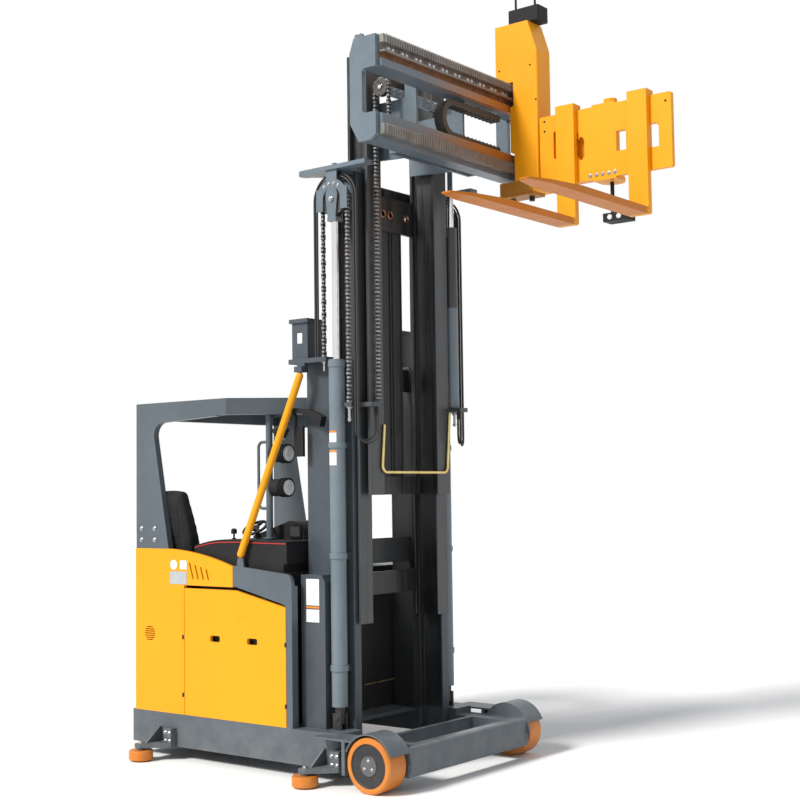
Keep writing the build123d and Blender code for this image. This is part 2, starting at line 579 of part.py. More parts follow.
with BuildPart() as display:
    block(AXLE_X - 905, AXLE_X - 815, HOOD_Y - 14, HOOD_Y, CONSOLE_TOP_Z + 2, CONSOLE_TOP_Z + 82)
    fillet(display.edges().filter_by(Axis.Y), 8)
save(display, "display")

# Seat facing the left side: slide box, cushion and tapered back
SEAT_X = AXLE_X - 1705
SEAT_HALF = 190
SEAT_BASE_Z = PLATFORM_Z
CUSHION_Z = SEAT_BASE_Z + 60
with BuildPart() as seat_base:
    block(SEAT_X - 160, SEAT_X + 160, -400, -100, SEAT_BASE_Z, CUSHION_Z - 0.3)
save(seat_base, "seat_base")

with BuildPart() as seat_cushion:
    block(SEAT_X - SEAT_HALF, SEAT_X + SEAT_HALF, -445, 30, CUSHION_Z, CUSHION_Z + 110)
    fillet(seat_cushion.edges().filter_by(Axis.Z), 60)
    fillet(seat_cushion.edges().group_by(Axis.Z)[-1], 25)
save(seat_cushion, "seat_cushion")

with BuildPart() as seat_back:
    with BuildSketch(Plane.YZ.offset(SEAT_X - SEAT_HALF)) as back_profile:
        with BuildLine():
            Polyline((-528, CUSHION_Z + 590), (-580, CUSHION_Z + 590), (-540, CUSHION_Z + 40), (-445.2, CUSHION_Z + 40))
            ThreePointArc((-445.2, CUSHION_Z + 40), (-458, CUSHION_Z + 260), (-528, CUSHION_Z + 590))
        make_face()
    extrude(back_profile.sketch, amount=2 * SEAT_HALF, dir=(1, 0, 0))
    for sign in (-1, 1):
        with BuildSketch(Plane.XZ.offset(440)) as flank_cut:
            with BuildLine():
                Polyline((SEAT_X + sign * (SEAT_HALF + 1), CUSHION_Z + 240), (SEAT_X + sign * 105, CUSHION_Z + 591),
                         (SEAT_X + sign * (SEAT_HALF + 1), CUSHION_Z + 591), close=True)
            make_face()
        extrude(flank_cut.sketch, amount=150, dir=(0, -1, 0), mode=Mode.SUBTRACT)
save(seat_back, "seat_back")

# Overhead guard: two C-shaped side plates, a barred roof with cut front corners, two tube posts
ROOF_LOW_Z = GUARD_TOP_Z - 100
ROOF_SIDE_X = AXLE_X - 1150
ROOF_FRONT_X = BULKHEAD_X - 20
ROOF_FRONT_Y = BODY_Y - (ROOF_FRONT_X - ROOF_SIDE_X)
TUBE_X = AXLE_X - 1003
TUBE_Y = 430
with BuildPart() as overhead_guard:
    flat_plate([(GUARD_REAR_X, -BODY_Y), (ROOF_SIDE_X, -BODY_Y), (ROOF_FRONT_X, -ROOF_FRONT_Y),
                (ROOF_FRONT_X, ROOF_FRONT_Y), (ROOF_SIDE_X, BODY_Y), (GUARD_REAR_X, BODY_Y)],
               ROOF_LOW_Z, GUARD_TOP_Z)
    flat_plate([(GUARD_REAR_X + 40, -BODY_Y + 40), (ROOF_SIDE_X - 14, -BODY_Y + 40),
                (ROOF_FRONT_X - 40, -ROOF_FRONT_Y + 20), (ROOF_FRONT_X - 40, ROOF_FRONT_Y - 20),
                (ROOF_SIDE_X - 14, BODY_Y - 40), (GUARD_REAR_X + 40, BODY_Y - 40)],
               ROOF_LOW_Z - 1, GUARD_TOP_Z - 18, Mode.SUBTRACT)
    for slot in range(7):
        slot_x = GUARD_REAR_X + 130 + 125 * slot
        block(slot_x, slot_x + 75, -430, 430, GUARD_TOP_Z - 30, GUARD_TOP_Z + 1, Mode.SUBTRACT)
    for side in (-1, 1):
        y0, y1 = sorted((side * BODY_Y, side * (BODY_Y - GUARD_T)))
        with BuildSketch(Plane.XZ.offset(-y1)):
            with BuildLine():
                Polyline((AXLE_X - 1655, HOUSING_TOP_Z), (GUARD_REAR_X, HOUSING_TOP_Z), (GUARD_REAR_X, GUARD_TOP_Z),
                         (ROOF_SIDE_X, GUARD_TOP_Z), (ROOF_SIDE_X - 86, ROOF_LOW_Z - 4), (AXLE_X - 1700, ROOF_LOW_Z - 24))
                ThreePointArc((AXLE_X - 1700, ROOF_LOW_Z - 24), (AXLE_X - 1764, ROOF_LOW_Z - 50),
                              (AXLE_X - 1785, ROOF_LOW_Z - 112))
                Line((AXLE_X - 1785, ROOF_LOW_Z - 112), (AXLE_X - 1655, HOUSING_TOP_Z))
            make_face()
        extrude(amount=y1 - y0)
    for side, foot_z in ((-1, CONSOLE_TOP_Z + 0.5), (1, COWL_TOP_Z)):
        upright(TUBE_X, side * TUBE_Y, foot_z, GUARD_TOP_Z - 10, 21)
        upright(TUBE_X, side * TUBE_Y, foot_z, foot_z + 8, 40)
        bent_pipe([(TUBE_X, side * TUBE_Y, 1520), (TUBE_X - 90, side * TUBE_Y, 1520),
                   (TUBE_X - 90, side * TUBE_Y, 1920), (TUBE_X, side * TUBE_Y, 1920)], 9, 35)
save(overhead_guard, "overhead_guard")

# Work lamps on the right tube post
with BuildPart() as work_lamps:
    for lamp_z in (1846, 1644):
        with Locations((TUBE_X + 96, -TUBE_Y, lamp_z)):
            Cylinder(52, 120, rotation=(0, 90, 0))
        for rib in range(4):
            with Locations((TUBE_X + 153 - 14 * rib, -TUBE_Y, lamp_z)):
                Cylinder(58, 6, rotation=(0, 90, 0))
        block(TUBE_X + 21, TUBE_X + 40, -TUBE_Y - 20, -TUBE_Y + 20, lamp_z - 20, lamp_z + 20)
    block(TUBE_X + 21, TUBE_X + 70, -TUBE_Y - 8, -TUBE_Y + 8, 1985, 1996)
    # round lamp under the roof
    with Locations((TUBE_X + 98, -TUBE_Y, 1985)):
        Cylinder(52, 22)
    with Locations((TUBE_X + 98, -TUBE_Y, 1956)):
        Cone(28, 50, 36)
save(work_lamps, "work_lamps")

# Mirror at the right front corner: a curved shell on a rod, with a flat mirror below it
with BuildPart() as mirrors:
    with BuildSketch(Plane.XZ.offset(492)) as shell:
        with BuildLine():
            ThreePointArc((AXLE_X - 752, 2100), (AXLE_X - 620, 2098), (AXLE_X - 485, 2046))
            Line((AXLE_X - 485, 2046), (AXLE_X - 505, 1990))
            ThreePointArc((AXLE_X - 505, 1990), (AXLE_X - 620, 2062), (AXLE_X - 752, 2080))
            Line((AXLE_X - 752, 2080), (AXLE_X - 752, 2100))
        make_face()
    extrude(amount=46)
    bent_pipe([(ROOF_SIDE_X + 200, -425, ROOF_LOW_Z - 10), (AXLE_X - 720, -500, ROOF_LOW_Z - 10),
               (AXLE_X - 720, -500, 1990)], 9, 20)
    upright(ROOF_SIDE_X + 200, -425, ROOF_LOW_Z - 20, ROOF_LOW_Z - 0.3, 14)
    block(AXLE_X - 725, AXLE_X - 655, -512, -494, 1822, 2000)
save(mirrors, "mirrors")

# Outer mast: two channels open to the middle, box posts behind them, foot columns and brackets
OUTER_REAR_X = OUTER_FRONT_X - RAIL_DEPTH
RAIL_BASE_Z = SKIRT_Z + 20
POST_X = OUTER_REAR_X - 160
POST_IN_Y = OUTER_OUT_Y - 100
COLUMN_X0 = AXLE_X - 636
COLUMN_X1 = CYL_X - BARREL_R - 16
COLUMN_OUT_Y = 560
COLUMN_TOP_Z = 1141
STRAP_Z = (620, 1250, 1880)
STRAP_R = BARREL_R + 6
with BuildPart() as outer_mast:
    for side in (-1, 1):
        rail(side, OUTER_FRONT_X, (OUTER_OUT_Y - WEB_T, OUTER_OUT_Y), (OUTER_TIP_Y, OUTER_OUT_Y),
             (OUTER_TIP_Y, OUTER_OUT_Y), RAIL_BASE_Z, OUTER_TOP_Z)
        y0, y1 = sorted((side * POST_IN_Y, side * OUTER_OUT_Y))
        block(POST_X, OUTER_REAR_X + 2, y0, y1, DECK_Z, OUTER_TOP_Z)
        y0, y1 = sorted((side * (OUTER_OUT_Y - 2), side * COLUMN_OUT_Y))
        side_plate([(COLUMN_X0, DECK_Z), (COLUMN_X1, DECK_Z), (COLUMN_X1, COLUMN_TOP_Z - 40),
                    (COLUMN_X1 - 25, COLUMN_TOP_Z), (COLUMN_X0, COLUMN_TOP_Z)], y0, y1)
        # plate that carries the chain ends, and the box above it
        flat_plate([(AXLE_X - 739, side * POST_IN_Y), (OUTER_REAR_X - 8, side * POST_IN_Y),
                    (OUTER_REAR_X - 8, side * (OUTER_OUT_Y + 2)), (COLUMN_X1 + 6, side * (OUTER_OUT_Y + 2)),
                    (COLUMN_X1 + 6, side * (CYL_Y + 30)), (AXLE_X - 739, side * (CYL_Y + 30))],
                   ANCHOR_Z - 28, ANCHOR_Z)
        y0, y1 = sorted((side * (POST_IN_Y + 20), side * (CYL_Y - 10)))
        block(AXLE_X - 745, AXLE_X - 623, y0, y1, ANCHOR_Z - 2, 2610)
        y0, y1 = sorted((side * (POST_IN_Y + 8), side * (CYL_Y + 4)))
        block(AXLE_X - 757, AXLE_X - 611, y0, y1, 2608, 2632)
        # seats for the cylinder straps
        for strap_z in STRAP_Z:
            y0, y1 = sorted((side * (OUTER_OUT_Y - 2), side * (CYL_Y - STRAP_R - 0.3)))
            block(CYL_X - 30, CYL_X + 30, y0, y1, strap_z - 22, strap_z + 22)
    # lug for the upper end of the stay
    block(AXLE_X - 672, AXLE_X - 614, -CYL_Y - 30, -CYL_Y + 4, 2312.3, ANCHOR_Z - 20)
    block(AXLE_X - 672, AXLE_X - 614, -CYL_Y - 56, -CYL_Y - 28, 2312.3, 2345)
    block(OUTER_REAR_X, OUTER_FRONT_X, -OUTER_OUT_Y, OUTER_OUT_Y, RAIL_BASE_Z, RAIL_BASE_Z + 20)
    block(OUTER_REAR_X - 30, OUTER_REAR_X - 12, -POST_IN_Y - 2, POST_IN_Y + 2, 1180, 1330)
    block(OUTER_REAR_X - 30, OUTER_REAR_X - 12, -POST_IN_Y - 2, POST_IN_Y + 2, OUTER_TOP_Z - 140, OUTER_TOP_Z)
save(outer_mast, "outer_mast")

# Stay from the right cab side up to the mast
STAY_R = 22
with BuildPart() as mast_stays:
    stay_low = (AXLE_X - 1040, -STAY_Y, 1232.3 + STAY_R)
    stay_high = (AXLE_X - 643, -CYL_Y - 40, 2290)
    tube_between(stay_low, stay_high, STAY_R)
    with Locations(stay_low, stay_high):
        Sphere(STAY_R)
save(mast_stays, "mast_stays")

# Lift cylinders beside the outer rails
with BuildPart() as lift_barrels:
    for side in (-1, 1):
        y = side * CYL_Y
        # clevis, pin and eye under the barrel
        for cheek_y in (y - 24, y + 24):
            block(CYL_X - 28, CYL_X + 28, cheek_y - 8, cheek_y + 8, DECK_Z, DECK_Z + 90)
        block(CYL_X - 22, CYL_X + 22, y - 17, y + 17, DECK_Z + 30, BARREL_BASE_Z + 4)
        cross_bar(CYL_X, DECK_Z + 60, y - 38, y + 38, 14)
        upright(CYL_X, y, BARREL_BASE_Z, BARREL_TOP_Z, BARREL_R)
        upright(CYL_X, y, BARREL_TOP_Z - 44, BARREL_TOP_Z - 6, BARREL_R + 4)
        for strap_z in STRAP_Z:
            upright(CYL_X, y, strap_z - 16, strap_z + 16, STRAP_R)
        upright(CYL_X, y, BARREL_BASE_Z + 60, BARREL_TOP_Z, ROD_R + PIN_FIT, Mode.SUBTRACT)
save(lift_barrels, "lift_barrels")

# Middle mast stage
MID_REAR_X = MID_FRONT_X - RAIL_DEPTH
YOKE_LOW_Z = SHEAVE_Z - SHEAVE_R - 34
with BuildPart() as mid_mast:
    for side in (-1, 1):
        rail(side, MID_FRONT_X, (MID_WEB_Y - WEB_T, MID_WEB_Y), (MID_TIP_Y, OUTER_OUT_Y - WEB_T - 9),
             (MID_TIP_Y, MID_OUT_Y), MID_BASE_Z, MID_TOP_Z)
    block(MID_REAR_X, MID_REAR_X + 22, -MID_TIP_Y - 2, MID_TIP_Y + 2, 1000, 1134)
    block(MID_REAR_X, MID_REAR_X + 22, -MID_TIP_Y - 2, MID_TIP_Y + 2, MID_TOP_Z - 150, MID_TOP_Z)
save(mid_mast, "mid_mast")

# Plates across the tops of the middle rails, rounded behind, which the lift rods push up
with BuildPart() as top_plates:
    for side in (-1, 1):
        with BuildSketch(Plane.XY.offset(TOP_PLATE_Z)) as plate:
            with BuildLine() as rim:
                Polyline((AXLE_X - 610, side * (CYL_Y - 45)), (MID_REAR_X, side * (MID_WEB_Y - WEB_T)),
                         (MID_FRONT_X, side * (MID_WEB_Y - WEB_T)), (MID_FRONT_X, side * (FREE_Y + FREE_R + 10)),
                         (AXLE_X - 130, side * (FREE_Y + FREE_R + 10)), (AXLE_X - 130, side * (CYL_Y + 45)),
                         (AXLE_X - 610, side * (CYL_Y + 45)))
                ThreePointArc((AXLE_X - 610, side * (CYL_Y + 45)), (AXLE_X - 655, side * CYL_Y),
                              (AXLE_X - 610, side * (CYL_Y - 45)))
            make_face(rim.edges())
        extrude(plate.sketch, amount=TOP_PLATE_T, dir=(0, 0, 1))
        upright(AXLE_X - 380, side * (CYL_Y + 14), TOP_PLATE_Z + TOP_PLATE_T, TOP_PLATE_Z + TOP_PLATE_T + 14, 15)
save(top_plates, "top_plates")

# Lift rods
with BuildPart() as lift_rods:
    for side in (-1, 1):
        upright(CYL_X, side * CYL_Y, BARREL_TOP_Z - 980, YOKE_LOW_Z, ROD_R)
save(lift_rods, "lift_rods")

# Yokes on the rods: a tongue on each side of the sheave inside a horseshoe-shaped guard
GUARD_RING_R = SHEAVE_R + 22
with BuildPart() as sheave_yokes:
    for side in (-1, 1):
        y = side * CYL_Y
        block(CYL_X - 32, CYL_X + 32, y - 32, y + 32, YOKE_LOW_Z, YOKE_LOW_Z + 24)
        for cheek in (-1, 1):
            cheek_y = y + cheek * (SHEAVE_W / 2 + 9)
            with BuildSketch(Plane.XZ.offset(-cheek_y - 4)) as ring:
                with Locations((CYL_X, SHEAVE_Z)):
                    Circle(GUARD_RING_R)
                    Circle(GUARD_RING_R - 50, mode=Mode.SUBTRACT)
                    Rectangle(3 * SHEAVE_R, 2 * SHEAVE_R, align=(Align.CENTER, Align.MAX), mode=Mode.SUBTRACT)
                    with Locations((GUARD_RING_R - 25, 0), (25 - GUARD_RING_R, 0)):
                        Rectangle(50, 130)
                with Locations((CYL_X, SHEAVE_Z + 24)):
                    Circle(44)
                with Locations((CYL_X, (SHEAVE_Z + GUARD_RING_R - 30 + TOP_PLATE_Z) / 2)):
                    Rectangle(80, TOP_PLATE_Z - SHEAVE_Z - GUARD_RING_R + 30)
                with BuildLine() as tongue:
                    Polyline((CYL_X - 44, SHEAVE_Z + 24), (CYL_X + 44, SHEAVE_Z + 24),
                             (CYL_X + 26, YOKE_LOW_Z), (CYL_X - 26, YOKE_LOW_Z), close=True)
                make_face(tongue.edges())
            extrude(ring.sketch, amount=8, dir=(0, -1, 0))
        cross_bar(CYL_X, SHEAVE_Z, y - 36, y + 36, 16)
save(sheave_yokes, "sheave_yokes")

# Grooved chain sheaves on the yoke pins
with BuildPart() as sheaves:
    for side in (-1, 1):
        y = side * CYL_Y
        cross_bar(CYL_X, SHEAVE_Z, y - SHEAVE_W / 2, y + SHEAVE_W / 2, SHEAVE_R)
        with BuildSketch(Plane.XZ.offset(-y - CHAIN_W / 2 - 1)) as groove:
            with Locations((CYL_X, SHEAVE_Z)):
                Circle(SHEAVE_R + 2)
                Circle(SHEAVE_TREAD_R, mode=Mode.SUBTRACT)
        extrude(groove.sketch, amount=CHAIN_W + 2, dir=(0, -1, 0), mode=Mode.SUBTRACT)
        cross_bar(CYL_X, SHEAVE_Z, y - SHEAVE_W / 2, y + SHEAVE_W / 2, 16 + PIN_FIT, Mode.SUBTRACT)
save(sheaves, "sheaves")

# Chains over the sheaves, and their straight runs behind and in front
CHAIN_R = SHEAVE_TREAD_R + CHAIN_T / 2 + 0.3
REAR_CHAIN_X = CYL_X - CHAIN_R
FRONT_CHAIN_X = CYL_X + CHAIN_R
with BuildPart() as chain_arcs:
    for side in (-1, 1):
        with BuildSketch(Plane.XZ.offset(-side * CYL_Y - CHAIN_W / 2)) as band:
            with Locations((CYL_X, SHEAVE_Z)):
                Circle(CHAIN_R + CHAIN_T / 2)
                Circle(CHAIN_R - CHAIN_T / 2, mode=Mode.SUBTRACT)
                Rectangle(3 * CHAIN_R, 2 * CHAIN_R, align=(Align.CENTER, Align.MAX), mode=Mode.SUBTRACT)
                with PolarLocations(CHAIN_R + CHAIN_T / 2, 8, start_angle=11.25, angular_range=180,
                                    endpoint=False):
                    Rectangle(5, 4, mode=Mode.SUBTRACT)
        extrude(band.sketch, amount=CHAIN_W, dir=(0, -1, 0))
save(chain_arcs, "chain_arcs")

with BuildPart() as rear_chains:
    for side in (-1, 1):
        chain_run(REAR_CHAIN_X, side * CYL_Y, ANCHOR_Z, SHEAVE_Z)
save(rear_chains, "rear_chains")

with BuildPart() as front_chains:
    for side in (-1, 1):
        chain_run(FRONT_CHAIN_X, side * CYL_Y, FRONT_ANCHOR_Z, SHEAVE_Z)
save(front_chains, "front_chains")

# Inner mast stage, with brackets for the chains, the free-lift cylinder and its chain
INNER_REAR_X = INNER_FRONT_X - RAIL_DEPTH
FREE_ANCHOR_Z = 2137
BRACE_Z = 3295
BRACE_H = 210
HOSE_FRONT_X = CYL_X + HOSE_ARCH_R
HOSE_END_X = HOSE_FRONT_X + HOSE_LOOP_X
with BuildPart() as inner_mast:
    for side in (-1, 1):
        rail(side, INNER_FRONT_X, (INNER_WEB_Y - WEB_T, INNER_WEB_Y), (INNER_TIP_Y, MID_WEB_Y - WEB_T - 6),
             (INNER_TIP_Y, INNER_OUT_Y), INNER_BASE_Z, INNER_TOP_Z)
        flat_plate([(INNER_FRONT_X - FLANGE_T, side * (INNER_OUT_Y - 2)), (INNER_FRONT_X, side * (INNER_OUT_Y - 2)),
                    (HOSE_END_X + 18, side * (FREE_Y - 45)), (HOSE_END_X + 18, side * (FREE_Y + 34)),
                    (HOSE_FRONT_X - 22, side * (FREE_Y + 42)), (HOSE_FRONT_X - 22, side * (CYL_Y + 22)),
                    (FRONT_CHAIN_X - 18, side * (CYL_Y + 22)), (FRONT_CHAIN_X - 18, side * (MID_OUT_Y + 10)),
                    (INNER_FRONT_X - FLANGE_T, side * (MID_OUT_Y + 10))], FRONT_ANCHOR_Z - 25, FRONT_ANCHOR_Z)
    for z0, z1 in ((INNER_BASE_Z, INNER_BASE_Z + 110), (INNER_TOP_Z - 90, INNER_TOP_Z)):
        block(INNER_REAR_X, INNER_REAR_X + 20, -INNER_TIP_Y - 2, INNER_TIP_Y + 2, z0, z1)
    with BuildSketch(Plane.YZ.offset(INNER_REAR_X)) as brace:
        with Locations((0, BRACE_Z)):
            Rectangle(2 * INNER_TIP_Y + 4, BRACE_H)
            with Locations((-194, 0), (-35, 0), (35, 0), (194, 0)):
                Circle(19, mode=Mode.SUBTRACT)
    extrude(brace.sketch, amount=20, dir=(1, 0, 0))
    for clip_z in (2200, FREE_TOP_Z - 60):
        block(FREE_X - 12, FREE_X + 5, INNER_OUT_Y - 2, FREE_Y - FREE_R - 0.3, clip_z, clip_z + 60)
    block(INNER_FRONT_X - 2, FREE_CHAIN_X + CHAIN_T, FREE_CHAIN_Y - 22, FREE_CHAIN_Y + 22,
          FREE_ANCHOR_Z - 26, FREE_ANCHOR_Z)
save(inner_mast, "inner_mast")

# Dark bands that guide the hoses up behind the inner stage
with BuildPart() as guide_strips:
    for band_y0, band_y1 in ((-95, 52), (62, 158)):
        block(INNER_REAR_X - 12.3, INNER_REAR_X - 0.3, band_y0, band_y1, INNER_BASE_Z + 40, BRACE_Z + BRACE_H / 2 - 20)
        for rib_y in (band_y0 + 8, band_y1 - 8):
            block(INNER_REAR_X - 0.4, INNER_REAR_X + 9, rib_y - 4, rib_y + 4, INNER_BASE_Z + 112, BRACE_Z - BRACE_H / 2 - 2)
save(guide_strips, "guide_strips")

# Hoses in pairs, one over the other: up behind each lift rod, over the sheave, down in front
HOSE_REAR_X = CYL_X - HOSE_ARCH_R
HOSE_SHIFTS = (-HOSE_STEP, HOSE_STEP)
with BuildPart() as hose_arcs:
    for side in (-1, 1):
        for shift in HOSE_SHIFTS:
            y = side * CYL_Y
            with BuildSketch(Plane(origin=(CYL_X, y, SHEAVE_Z), x_dir=(1, 0, 0), z_dir=(0, 0, 1))) as ring:
                with Locations((HOSE_ARCH_R + shift, 0)):
                    RegularPolygon(HOSE_R, HOSE_SIDES)
            revolve(ring.sketch, axis=Axis((CYL_X, y, SHEAVE_Z), (0, -1, 0)), revolution_arc=180)
save(hose_arcs, "hose_arcs")

with BuildPart() as rear_hoses:
    for side in (-1, 1):
        for shift in HOSE_SHIFTS:
            straight_hose(HOSE_REAR_X + shift, side * CYL_Y, ANCHOR_Z, SHEAVE_Z)
save(rear_hoses, "rear_hoses")

with BuildPart() as front_hoses:
    for side in (-1, 1):
        for shift in HOSE_SHIFTS:
            straight_hose(HOSE_FRONT_X + shift, side * CYL_Y, FRONT_ANCHOR_Z, SHEAVE_Z)
save(front_hoses, "front_hoses")

# Loops from the hoses' lower ends round to the fittings under the chain brackets
HOSE_BEND = math.hypot(HOSE_LOOP_X, HOSE_LOOP_Y) / 2 - 0.5
with BuildPart() as hose_loops:
    for side in (-1, 1):
        for shift, low_z in ((-HOSE_STEP, 1905), (HOSE_STEP, 1890)):
            x, y = HOSE_FRONT_X + shift, side * CYL_Y
            end_x, end_y = x + HOSE_LOOP_X, side * (CYL_Y - HOSE_LOOP_Y)
            bent_hose([(x, y, FRONT_ANCHOR_Z), (x, y, low_z), (end_x, end_y, low_z),
                       (end_x, end_y, FRONT_ANCHOR_Z - 25.3)], HOSE_BEND)
            upright(end_x, end_y, FRONT_ANCHOR_Z - 70, FRONT_ANCHOR_Z - 25.3, HOSE_R + 1.5)
save(hose_loops, "hose_loops")

# Pipe looped below the inner stage's brackets
PIPE_X = INNER_FRONT_X + 9.3
with BuildPart() as mast_pipe:
    bent_pipe([(PIPE_X, -268, 1998), (PIPE_X, -292, 1723), (PIPE_X, 342, 1723), (PIPE_X, 375, 2085)], 9, 40)
save(mast_pipe, "mast_pipe")

# Free-lift cylinder, its rod with crosshead, and the sheave of the near chain
with BuildPart() as free_barrel:
    upright(FREE_X, FREE_Y, FREE_BASE_Z, FREE_TOP_Z, FREE_R)
    upright(FREE_X, FREE_Y, FREE_BASE_Z + 30, FREE_TOP_Z, FREE_ROD_R + PIN_FIT, Mode.SUBTRACT)
save(free_barrel, "free_barrel")

ROD_TOP_Z = INNER_TOP_Z + 5
SHEAVE_PLACE_X = FREE_CHAIN_X + FREE_SHEAVE_R + CHAIN_T / 2
BAR_X0 = FREE_X + FREE_R + 7
BAR_X1 = BAR_X0 + 22
with BuildPart() as free_rod:
    upright(FREE_X, FREE_Y, FREE_TOP_Z - 180, ROD_TOP_Z - 4, FREE_ROD_R)
    block(FREE_X - 26, BAR_X1, FREE_Y - 26, FREE_Y + 26, ROD_TOP_Z - 35, ROD_TOP_Z)
    block(BAR_X0, BAR_X1, FREE_Y - 30, FREE_Y + 30, HEAD_BAR_Z - 32, ROD_TOP_Z - 4)
    block(BAR_X0, BAR_X1, FREE_CHAIN_Y + 24, FREE_Y + 28, HEAD_BAR_Z - 32, HEAD_BAR_Z + 32)
    block(BAR_X0, SHEAVE_PLACE_X + 18, FREE_CHAIN_Y + 18, FREE_CHAIN_Y + 32, HEAD_BAR_Z - 32, HEAD_BAR_Z + 32)
    cross_bar(SHEAVE_PLACE_X, HEAD_BAR_Z, FREE_CHAIN_Y - 24, FREE_CHAIN_Y + 20, 12)
save(free_rod, "free_rod")

with BuildPart() as free_sheave:
    cross_bar(SHEAVE_PLACE_X, HEAD_BAR_Z, FREE_CHAIN_Y - 17, FREE_CHAIN_Y + 17, FREE_SHEAVE_R)
    for rim_y in (FREE_CHAIN_Y - 17, FREE_CHAIN_Y + 14):
        cross_bar(SHEAVE_PLACE_X, HEAD_BAR_Z, rim_y, rim_y + 3, FREE_SHEAVE_R + 10)
    cross_bar(SHEAVE_PLACE_X, HEAD_BAR_Z, FREE_CHAIN_Y - 17, FREE_CHAIN_Y + 17, 12 + PIN_FIT, Mode.SUBTRACT)
save(free_sheave, "free_sheave")

FREE_FRONT_X = SHEAVE_PLACE_X + FREE_SHEAVE_R + CHAIN_T / 2
CARRIAGE_ANCHOR_Z = 3625
with BuildPart() as free_chain_arc:
    with BuildSketch(Plane.XZ.offset(-FREE_CHAIN_Y - CHAIN_W / 2)) as band:
        with Locations((SHEAVE_PLACE_X, HEAD_BAR_Z)):
            Circle(FREE_SHEAVE_R + CHAIN_T + 0.3)
            Circle(FREE_SHEAVE_R + 0.3, mode=Mode.SUBTRACT)
            Rectangle(3 * CHAIN_R, 2 * CHAIN_R, align=(Align.CENTER, Align.MAX), mode=Mode.SUBTRACT)
    extrude(band.sketch, amount=CHAIN_W, dir=(0, -1, 0))
save(free_chain_arc, "free_chain_arc")

with BuildPart() as free_chain_rear:
    chain_run(FREE_CHAIN_X, FREE_CHAIN_Y, FREE_ANCHOR_Z, HEAD_BAR_Z)
save(free_chain_rear, "free_chain_rear")

with BuildPart() as free_chain_front:
    chain_run(FREE_FRONT_X, FREE_CHAIN_Y, CARRIAGE_ANCHOR_Z, HEAD_BAR_Z)
save(free_chain_front, "free_chain_front")

# Traverse frame: end plates, upper and lower beams, and the roller plates that run in the mast
ROLLER_R = RAIL_DEPTH / 2 - FLANGE_T - 5
ROLLER_X = INNER_FRONT_X - RAIL_DEPTH / 2
ARM_PLATE_X0 = INNER_REAR_X + 28
RACK_HALF = FRAME_END_Y - FRAME_PLATE_T
LOW_RACK_Z = LOW_LOW_Z + 30
BACK_X = FRAME_REAR_X
with BuildPart() as traverse_frame:
    for side in (-1, 1):
        y0, y1 = sorted((side * (FRAME_END_Y - FRAME_PLATE_T), side * FRAME_END_Y))
        side_plate([(AXLE_X - 80, 4036), (AXLE_X - 50, UP_TOP_Z), (FRAME_FRONT_X, UP_TOP_Z),
                    (FRAME_FRONT_X, UP_LOW_Z - 5), (AXLE_X + 22, UP_LOW_Z - 5), (AXLE_X + 7, UP_LOW_Z - 20),
                    (AXLE_X + 7, LOW_TOP_Z + 22), (AXLE_X + 22, LOW_TOP_Z + 7), (FRAME_FRONT_X - 2, LOW_TOP_Z + 7),
                    (FRAME_FRONT_X - 2, 3560), (AXLE_X + 60, LOW_LOW_Z), (AXLE_X - 20, LOW_LOW_Z),
                    (AXLE_X - 80, 3640)], y0, y1)
        # two eyes on the rear top of the end plate
        eye_y = side * (FRAME_END_Y - FRAME_PLATE_T / 2)
        for eye_x in (AXLE_X - 34, AXLE_X - 4):
            cross_bar(eye_x, UP_TOP_Z + 10, eye_y - 8, eye_y + 8, 14)
            block(eye_x - 14, eye_x + 14, eye_y - 8, eye_y + 8, UP_TOP_Z - 26, UP_TOP_Z + 10)
        # roller plates and sloped uprights
        y0, y1 = sorted((side * (CARRIAGE_Y - 18), side * CARRIAGE_Y))
        side_plate([(ARM_PLATE_X0, 3565), (AXLE_X + 4, 3545), (AXLE_X + 4, UP_TOP_Z - 10), (BACK_X, UP_TOP_Z - 60),
                    (BACK_X, 3900), (ARM_PLATE_X0, 3900)], y0, y1)
        y0, y1 = sorted((side * (CARRIAGE_Y - 2), side * (INNER_WEB_Y - WEB_T - 6)))
        for roller_z in (3650, 3820):
            cross_bar(ROLLER_X, roller_z, y0, y1, ROLLER_R)
    beam_y = FRAME_END_Y - FRAME_PLATE_T + 1
    # upper beam with a groove, lower beam, and the plate behind it
    side_plate([(AXLE_X, UP_LOW_Z), (AXLE_X + 100, UP_LOW_Z), (AXLE_X + 100, UP_TOP_Z), (AXLE_X + 62, UP_TOP_Z),
                (AXLE_X + 62, UP_TOP_Z - 30), (AXLE_X + 38, UP_TOP_Z - 30), (AXLE_X + 38, UP_TOP_Z),
                (AXLE_X, UP_TOP_Z)], -beam_y, beam_y)
    block(AXLE_X, AXLE_X + 100, -beam_y, beam_y, LOW_LOW_Z, LOW_TOP_Z)
    # front strips below the upper rack and above the lower one
    block(AXLE_X + 98, AXLE_X + 125, -RACK_HALF, RACK_HALF, UP_LOW_Z, UP_LOW_Z + 44)
    block(AXLE_X + 98, AXLE_X + 125, -RACK_HALF, RACK_HALF, LOW_RACK_Z + RACK_H + 0.3, LOW_TOP_Z)
    block(BACK_X, BACK_X + 20, FREE_CHAIN_Y - 60, -FREE_CHAIN_Y + 60, LOW_LOW_Z + 10, LOW_TOP_Z)
    block(BACK_X + 10, AXLE_X + 4, FREE_CHAIN_Y - 60, FREE_CHAIN_Y - 42, LOW_LOW_Z + 10, LOW_TOP_Z)
    block(BACK_X + 10, AXLE_X + 4, -FREE_CHAIN_Y + 42, -FREE_CHAIN_Y + 60, LOW_LOW_Z + 10, LOW_TOP_Z)
    block(FREE_FRONT_X - 14, BACK_X + 4, FREE_CHAIN_Y - 20, FREE_CHAIN_Y + 20,
          CARRIAGE_ANCHOR_Z - 26, CARRIAGE_ANCHOR_Z)
save(traverse_frame, "traverse_frame")

